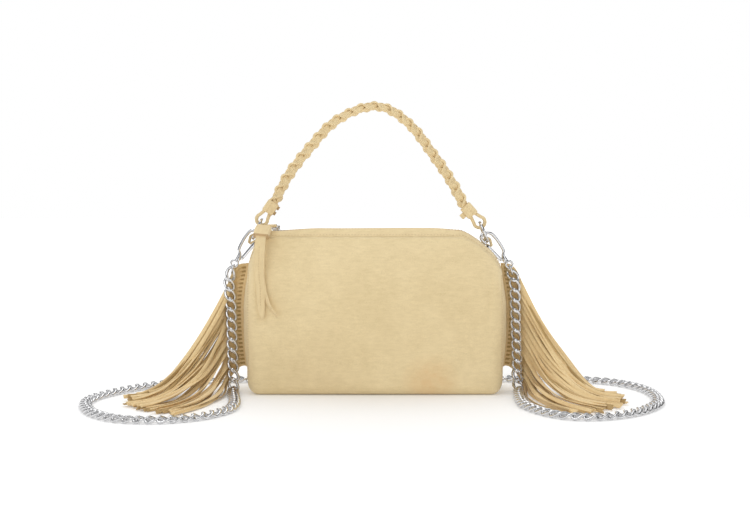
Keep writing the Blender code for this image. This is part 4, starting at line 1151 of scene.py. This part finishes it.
@dataclass
class Fittings:
    """Rings, tabs, snap clips, swivels and jump rings at both ends."""

    finishes: Finishes
    ring_wire: float = 1.45 * MM
    hook_wire: float = 1.5 * MM
    eye_radius: float = 3.4 * MM
    eye_wire: float = 1.1 * MM
    jump_radius: float = 4.4 * MM
    jump_wire: float = 0.9 * MM
    foot: float = 3.6 * MM
    swivel_out: float = 2.4 * MM
    collar: tuple[float, float] = (2.4 * MM, 1.8 * MM)
    hook_points: tuple[tuple[float, float], ...] = (
        (-3.5, 2.5), (-1.0, 3.0), (1.6, 4.6), (4.6, 8.0), (12, 10.1), (20, 11.3), (26, 11.0), (29.8, 7.8),
        (31.0, 4.2), (29.6, 1.0), (26.0, 0.0), (21.6, 0.0))

    def build(self) -> None:
        """Makes both ends' fittings."""
        for end in (LEFT, RIGHT):
            self.ring(end)
            self.tab(end)
            self.clip(end)
            self.swivel(end)

    def ring(self, end: End) -> None:
        """The round ring, seen edge on."""
        normal = np.cross(end.ring_up, FORWARD)
        piece(f"{end.name}_round_ring", torus(end.centre, normal, end.ring_radius, self.ring_wire, 80, 18),
              self.finishes.metal, Body.BAG.value, [f"{end.name}_ring"])

    def tab(self, end: End) -> None:
        """The suede tab folded round the ring's foot."""
        bow = end.ring_radius - math.sqrt(end.ring_radius**2 - (3.5 * MM) ** 2)
        centre = end.centre - (end.ring_radius - bow / 2) * end.ring_up
        out = unit(np.array((end.sign * 0.62, 0.0, -0.78)))
        loop = strap_loop(centre + 6.6 * MM * out, centre, 3.3 * MM, 7.0 * MM, 2.1 * MM)
        piece(f"{end.name}_tab_strap", loop, self.finishes.strap, Body.BAG.value,
              [f"{end.name}_tab"])

    def clip(self, end: End) -> None:
        """The hook's wire, thick at its foot, the gate bar and its rivet."""
        route = smooth_path([end.clip_point(a * MM, b * MM) for a, b in self.hook_points], 0.7 * MM)
        share = lengths(route) / lengths(route)[-1]
        size = 1.0 + 0.75 * (1 - smooth_step(share / 0.16)) - 0.12 * smooth_step((share - 0.93) / 0.07)
        hook = sweep(route, FORWARD, oval(self.hook_wire, self.hook_wire, 16), scale=size)
        heel = sweep(np.array([end.clip_point(-3.5 * MM, v * MM) for v in (-0.2, 0.4, 1.4, 3.2)]), FORWARD,
                     slab(2.0 * MM, 1.3 * MM, 0.6 * MM, 4), scale=np.array((0.8, 1.0, 1.0, 0.9)))
        piece(f"{end.name}_hook_wire", merged([hook, heel]), self.finishes.metal, Body.BAG.value,
              [f"{end.name}_hook"])
        share = np.linspace(0, 1, 22)
        path = np.array([end.clip_point((-1.2 + 21.2 * s) * MM, 0) for s in share])
        path = path + (-0.15 * MM) * end.clip_out
        wide = 1.0 - 0.3 * np.abs(2 * share - 1) ** 9
        bar = sweep(path, end.clip_out, slab(1.7 * MM, 1.3 * MM, 0.5 * MM, 4), scale=wide)
        rivet = turned(end.clip_point(0, 0) + 2.0 * MM * FORWARD, FORWARD,
                       np.array(((0, 1.3), (0.25, 1.3), (0.5, 1.05), (0.6, 0.6))) * MM)
        piece(f"{end.name}_gate_bar", merged([bar, rivet]), self.finishes.metal, f"{end.name}_gate",
              [f"{end.name}_gate"])

    def swivel_top(self, end: End) -> Array:
        """Where the swivel meets the hook's foot."""
        return end.clip_point(-self.foot - HAIR, self.swivel_out)

    def eye_centre(self, end: End) -> Array:
        """Middle of the swivel's eye."""
        return self.swivel_top(end) - (self.collar[1] + self.eye_radius) * end.clip_up

    def swivel(self, end: End) -> None:
        """Collar with a turned groove, its eye, and the jump ring to the chain."""
        radius, length = self.collar
        profile = np.array(((0.0, 0.72), (0.12, 0.95), (0.34, 1.0), (0.45, 0.82), (0.55, 0.82), (0.66, 1.0),
                            (0.86, 0.95), (1.0, 0.6), (1.25, 0.42)))
        collar = turned(self.swivel_top(end), -end.clip_up, profile * (length, radius))
        centre = self.eye_centre(end)
        eye = torus(centre, FORWARD, self.eye_radius, self.eye_wire, 48, 12)
        piece(f"{end.name}_swivel_eye", merged([collar, eye]), self.finishes.metal, f"{end.name}_swivel",
              [f"{end.name}_swivel"])
        hang = end.chain_way()
        jump = centre + (self.eye_radius - self.eye_wire + self.jump_radius - self.jump_wire - HAIR) * hang
        ring = torus(jump, np.cross(hang, FORWARD), self.jump_radius, self.jump_wire, 48, 12)
        piece(f"{end.name}_jump_wire", ring, self.finishes.metal, Body.BAG.value,
              [f"{end.name}_jump_ring"])

    def chain_top(self, end: End) -> Array:
        """Middle of the first link's end."""
        inside = (self.jump_radius - self.jump_wire) * math.cos(math.pi / 14) - HAIR
        seat = math.sqrt(inside**2 - (1.4 * MM) ** 2) - 1.7 * MM
        drop = self.eye_radius - self.eye_wire + self.jump_radius - self.jump_wire - HAIR + seat
        return self.eye_centre(end) + drop * end.chain_way()


@dataclass
class CurbChain:
    """The strap: twisted curb links laid round the bag and up to both clips."""

    fittings: Fittings
    finishes: Finishes
    pitch: float = 10.1 * MM
    rest: float = 3.5 * MM
    knot_height: float = 2.4 * MM
    around: int = 18
    sides: int = 6
    half_length: float = 6.9 * MM
    half_width: float = 4.3 * MM
    wire: tuple[float, float] = (1.6 * MM, 1.3 * MM)
    twist: float = math.radians(-52)
    slant: float = 0.3
    floor: tuple[tuple[float, float], ...] = (
        (-141, -16), (-138, -40), (-133, -73), (-131, -100), (-135, -124), (-151, -150), (-174, -165),
        (-198, -169), (-225, -162), (-250, -138), (-266, -104), (-271, -75), (-264, -45), (-244, -10),
        (-217, 19), (-180, 37), (-136, 46), (-70, 52), (0, 54), (70, 53), (140, 50), (200, 48), (236, 35),
        (256, 15), (268, -12), (271, -43), (266, -80), (252, -110), (229, -137), (200, -153), (174, -153),
        (155, -136), (143, -110), (138, -88), (139, -50), (143, -16))

    def route(self) -> Array:
        """Points from the left clip down, round behind the bag and up to the right clip."""
        rest = self.knot_height
        ends = []
        for end, low in ((LEFT, self.floor[0]), (RIGHT, self.floor[-1])):
            start = self.fittings.chain_top(end)
            foot = np.array((low[0] * MM, low[1] * MM, rest))
            hang = [start, start + 12 * MM * end.chain_way()]
            for height in (86 * MM, 58 * MM, 30 * MM, 12 * MM):
                share = (height - rest) / (start[2] - rest)
                hang.append(np.array((foot[0] + (start[0] + end.sign * 3 * MM - foot[0]) * share,
                                      start[1] - 4 * MM * (1 - share), height)))
            ends.append(hang)
        floor = [np.array((x * MM, y * MM, rest)) for x, y in self.floor]
        return smooth_path(ends[0] + floor + ends[1][::-1], 1 * MM)

    def build(self) -> None:
        """Makes the links.

        A link is an oval whose side offset turns about the link's length in step with the distance along it.
        """
        fine = self.route()
        fine[:, 2] = np.maximum(fine[:, 2], self.rest)
        reach = lengths(fine)
        along = tangents(fine)
        steep = smooth_step(np.abs(along[:, 2:3]) * 1.4)
        face = (1 - steep) * UP + steep * FORWARD
        face = unit(face - (face * along).sum(1, keepdims=True) * along)
        links = int(round(reach[-1] / self.pitch))
        middle = (np.arange(links) + 0.5) * reach[-1] / links

        def read(values: Array, stations: Array) -> Array:
            """Values of the line at lengths along it."""
            return np.stack([np.interp(stations, reach, values[:, k]) for k in range(3)], -1)

        turn = np.arange(self.around) * 2 * math.pi / self.around
        x = self.half_length * np.cos(turn)
        w = self.half_width * np.sign(np.sin(turn)) * np.abs(np.sin(turn)) ** 0.85
        angle = self.twist * x / self.half_length
        centre = read(fine, middle)
        ahead = unit(read(along, middle))
        up = unit(read(face, middle))
        side = np.cross(up, ahead)
        path = (centre[:, None, :] + x[None, :, None] * ahead[:, None, :]
                + (w * np.cos(angle) + self.slant * x)[None, :, None] * side[:, None, :]
                + (w * np.sin(angle))[None, :, None] * up[:, None, :])
        tangent = unit(np.roll(path, -1, 1) - np.roll(path, 1, 1))
        out = path - centre[:, None, :]
        flat = unit(out - (out * tangent).sum(-1, keepdims=True) * tangent)
        thin = np.cross(tangent, flat)
        ring = np.arange(self.sides) * 2 * math.pi / self.sides
        points = (path[:, :, None, :]
                  + self.wire[0] * np.cos(ring)[None, None, :, None] * flat[:, :, None, :]
                  + self.wire[1] * np.sin(ring)[None, None, :, None] * thin[:, :, None, :])
        points[..., 2] = np.maximum(points[..., 2], 0.05 * MM)
        one = quads(self.around, self.sides, True, True)
        starts = np.arange(links) * self.around * self.sides
        faces = (one[None] + starts[:, None, None]).reshape(-1, 4)
        piece("curb_links", (points.reshape(-1, 3), faces.tolist()), self.finishes.chain, Body.BAG.value,
              ["chain_strap"], sharp=80.0)


@dataclass
class Fringe:
    """A side fringe: long cut strips sewn in a column that drape outwards and lie on the floor."""

    end: End
    form: BagForm
    finishes: Finishes
    count: int = 26
    pitch: float = 4.0 * MM
    width: float = 4.3 * MM
    thickness: float = 0.9 * MM
    length: float = 168 * MM
    foot: float = 24 * MM
    header: float = 2.6 * MM
    set_back: float = 1.8 * MM
    layer: float = 0.95 * MM
    rear: float = 3.4 * MM
    bow: float = 17 * MM
    top_way: tuple[tuple[float, float, float], ...] = (
        (6.5, 0.6, -0.3), (12.5, 2, -6), (19, 5, -20), (30, 10, -43), (43, 17, -67), (57, 25, -90),
        (72, 34, -110), (87, 42, -120), (104, 51, -122))
    foot_way: tuple[tuple[float, float, float], ...] = (
        (6.5, 0.8, -0.5), (13, 2, -6), (18.5, 6, -14), (22, 16, -21), (21.5, 36, -23), (22.5, 62, -23.5),
        (28, 92, -23.5), (38, 120, -23.5), (50, 145, -23.5))

    def root(self, place: float) -> Array:
        """Where a strip leaves the gusset: 0 for the top strip, 1 for the lowest."""
        height = self.foot + (self.count - 1) * self.pitch * (1 - place) + self.pitch / 2
        x = self.form.half_width + self.form.end_bulge(height, self.end.sign) + HAIR + self.header / 2
        return np.array((self.end.sign * x, self.set_back, height))

    def strip(self, place: float, rng: np.random.Generator) -> tuple[Array, Array]:
        """Centre line of one strip and how far along it each point is.

        The way is a blend of the top strip's and the lowest strip's, bowed outwards between them.

        Args:
            place: 0 for the top strip, 1 for the lowest.
            rng: Source of the small differences from strip to strip.

        Returns:
            Points and shares of the length.
        """
        ways = np.array((self.top_way, self.foot_way)) * MM
        offsets = (1 - place) * ways[0] + place * ways[1]
        share = np.linspace(0.1, 1.0, len(offsets))
        loose = smooth_step((share - 0.15) / 0.6)
        offsets[:, 0] += self.bow * math.sin(math.pi * place) * share**2.2 + rng.normal(0, 2.4 * MM) * loose
        offsets[:, 1] += rng.normal(0, 3.6 * MM) * loose
        offsets[:, 0] += 1.9 * MM * np.sin(share * rng.uniform(4, 9) + rng.uniform(0, 6.3)) * loose
        root = self.root(place)
        knots = root + offsets * (self.end.sign, -1, 1)
        rest = (2.3 + 3.2 * (1 - place) * (1 - 0.5 * place) + rng.uniform(0, 1.6)) * MM
        knots[:, 2] = np.maximum(knots[:, 2], rest)
        path = smooth_path(np.vstack((root, knots)), 2 * MM)
        reach = lengths(path)
        length = min(self.length * rng.uniform(0.94, 1.06), reach[-1])
        stations = np.concatenate((np.linspace(0, 0.1, 6)[:-1], np.linspace(0.1, 1.0, 30))) * length
        line = np.stack([np.interp(stations, reach, path[:, k]) for k in range(3)], axis=1)
        line[:, 2] = np.maximum(line[:, 2], 2.1 * MM)
        return line, stations / length

    def build(self) -> None:
        """Makes rear and front strips, the root that they are sewn in and its dark backing, a sheet of
        painted shade between the strip roots.
        """
        rng = np.random.default_rng(11 if self.end.sign < 0 else 29)
        shapes: list[Shape] = []
        front = [(k / (self.count - 1), 0.0) for k in range(self.count)]
        rear = [((k + 0.5) / (self.count - 1), self.rear) for k in range(self.count - 1)]
        for k, (place, back) in enumerate(rear + front):
            path, share = self.strip(place, rng)
            lying = 1 - smooth_step(path[:, 2:3] / (34 * MM))
            out = np.array((self.end.sign, 0.0, 0.0))
            tilt = rng.normal(0, 0.55) * smooth_step((share - 0.05) / 0.25)
            wave = np.sin(share * rng.uniform(4, 8) + rng.uniform(0, 6.3))
            curl = 0.5 * wave * smooth_step((share - 0.1) / 0.4)
            face = FORWARD * (1 - 0.5 * lying) + UP * (0.2 + 0.4 * lying) + (tilt + curl)[:, None] * out
            along = tangents(path)
            face = unit(face - (face * along).sum(1, keepdims=True) * along)
            lift = (k * 7 % 5 - 2) * self.layer * smooth_step((share - 0.06) / 0.2)
            lift = lift - back * smooth_step(share / 0.15)
            path = path + lift[:, None] * face
            path[:, 2] = np.maximum(path[:, 2], 2.1 * MM)
            wide = np.cross(along, face)
            own = rng.uniform(0.78, 1.04) + 0.03 * np.sin(share * 21 + k)
            size = np.stack((own + (0.74 - own) * (1 - smooth_step(share / 0.09)), np.ones(len(share))), 1)
            section = slab(self.width / 2, self.thickness / 2, 0.25 * MM, 2)
            points, faces = sweep(path, wide, section, scale=size)
            points[:, 2] = np.maximum(points[:, 2], 0.05 * MM)
            shapes.append((points, faces))
        root = np.array([self.root(place) for place in np.linspace(-0.02, 1.02, 40)])
        shapes.append(sweep(root, ALONG, slab(self.header / 2 + 0.3 * MM, 1.5 * MM, 0.7 * MM, 3)))
        # A dark sheet just behind the strip roots: painted shade showing in the gaps between them.
        behind = root[2:-1] + np.array((self.end.sign * 3.6 * MM, 2.2 * MM, 0))
        piece(f"{self.end.name}_fringe_shade_backing", sweep(behind, ALONG, slab(3.2 * MM, 0.4 * MM, 0.2 * MM)),
              self.finishes.root, Body.BAG.value)
        # The rear strips take the darker fringe suede as painted shade.
        piece(f"{self.end.name}_fringe_rear", merged(shapes[:len(rear)]), self.finishes.shade, Body.BAG.value)
        piece(f"{self.end.name}_fringe_strips", merged(shapes[len(rear):]), self.finishes.fringe,
              Body.BAG.value, [f"{self.end.name}_fringe"])


# Studio


@dataclass
class Studio:
    """Camera at the photograph's angle, a pale floor and plain soft lights."""

    eye: tuple[float, float, float] = (0.0, -1.185, 0.206)
    tilt: float = 3.57
    focal_pixels: float = 1187.0
    image_width: float = 750.0

    def build(self) -> None:
        """Sets up camera, floor, world and lamps."""
        scene = bpy.context.scene
        scene.view_settings.view_transform = "Standard"
        data = bpy.data.cameras.new("camera")
        data.sensor_width = 36.0
        data.lens = 36.0 * self.focal_pixels / self.image_width
        data.clip_start = 0.05
        camera = bpy.data.objects.new("camera", data)
        camera.location = self.eye
        camera.rotation_euler = (math.radians(90 - self.tilt), 0, 0)
        scene.collection.objects.link(camera)
        scene.camera = camera
        self.floor()
        self.world()
        for name, place, size, power in (
                ("key", (-0.9, -1.2, 1.6), 1.1, 7.5),
                ("fill", (1.3, -1.1, 0.9), 1.2, 2.5),
                ("top", (0.0, 0.42, 1.45), 1.0, 5.5)):
            self.lamp(name, place, size, power)

    def lamp(self, name: str, place: tuple[float, float, float], size: float, power: float) -> None:
        """A square soft lamp aimed at the bag."""
        data = bpy.data.lights.new(name, "AREA")
        data.energy = power
        data.size = size
        lamp = bpy.data.objects.new(name, data)
        lamp.location = place
        way = np.array((0.0, 0.0, 0.08)) - np.array(place)
        flat = math.hypot(way[0], way[1])
        lamp.rotation_euler = (math.atan2(flat, -way[2]), 0.0, math.atan2(way[1], way[0]) - math.pi / 2)
        bpy.context.scene.collection.objects.link(lamp)

    def floor(self) -> None:
        """A wide pale floor."""
        graph = Graph(bpy.data.materials.new("studio_floor"))
        tone = graph.noise(3.0, 2.0)
        base = graph.mix(tone, (0.93, 0.93, 0.93), (0.95, 0.95, 0.95))
        far = (1.0 - graph.nearness((0.0, -0.05, 0.0), 1.0)).held()
        glow = graph.mix(far, (0.04, 0.04, 0.04), (0.62, 0.62, 0.62))
        made = graph.finish({"Specular IOR Level": 0.1, "Emission Strength": 1.0}, base=base, glow=glow,
                            roughness=(0.85 + tone * 0.05).held())
        mesh = bpy.data.meshes.new("studio_floor")
        reach = 6.0
        corners = [(-reach, -reach, 0), (reach, -reach, 0), (reach, reach, 0), (-reach, reach, 0)]
        mesh.from_pydata(corners, [], [(0, 1, 2, 3)])
        mesh.materials.append(made)
        item = bpy.data.objects.new("studio_floor", mesh)
        bpy.context.scene.collection.objects.link(item)

    def world(self) -> None:
        """White to the camera, and bright panels with dimmer stretches between to light and metal."""
        world = bpy.data.worlds.new("studio")
        bpy.context.scene.world = world
        graph = Graph(world)
        way = graph.place.node.outputs["Generated"]
        clouds = graph.node("TexNoise", None, {"Vector": way, "Scale": 2.1, "Detail": 1.5})
        patch = Term(graph, clouds.outputs[0])
        panels = ((patch - 0.5) * 12.0).held() * 1.05 + 0.05
        rays = graph.node("LightPath").outputs
        seen = Term(graph, rays["Is Camera Ray"])
        mirrored = Term(graph, rays["Is Glossy Ray"])
        strength = seen + (1.0 - seen) * (mirrored * panels + (1.0 - mirrored) * 0.62)
        back = graph.node("Background", None, {"Color": (1, 1, 1, 1), "Strength": strength})
        graph.node("OutputWorld", None, {"Surface": back.outputs[0]})


def dress_cad(finishes: Finishes) -> None:
    """Gives the CAD nodes that stay their own materials."""
    chosen = {"lining": finishes.lining, "base_board": finishes.board, "front_zip_tape": finishes.tape,
              "back_zip_tape": finishes.tape}
    for name, finish in chosen.items():
        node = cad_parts[name]
        item = node if isinstance(node, bpy.types.Object) else bpy.data.objects[name]
        item.data.materials.clear()
        item.data.materials.append(finish)


def main() -> None:
    """Builds the studio, then every sub-assembly in order."""
    Studio().build()
    finishes = Finishes()
    dress_cad(finishes)
    form = BagForm()
    fittings = Fittings(finishes)
    for part in (BagBody(form, finishes), Zip(form, finishes), Handle(finishes), fittings,
                 CurbChain(fittings, finishes), Fringe(LEFT, form, finishes), Fringe(RIGHT, form, finishes)):
        part.build()
        LOG.info("built %s", type(part).__name__)


if __name__ == "__main__":
    main()
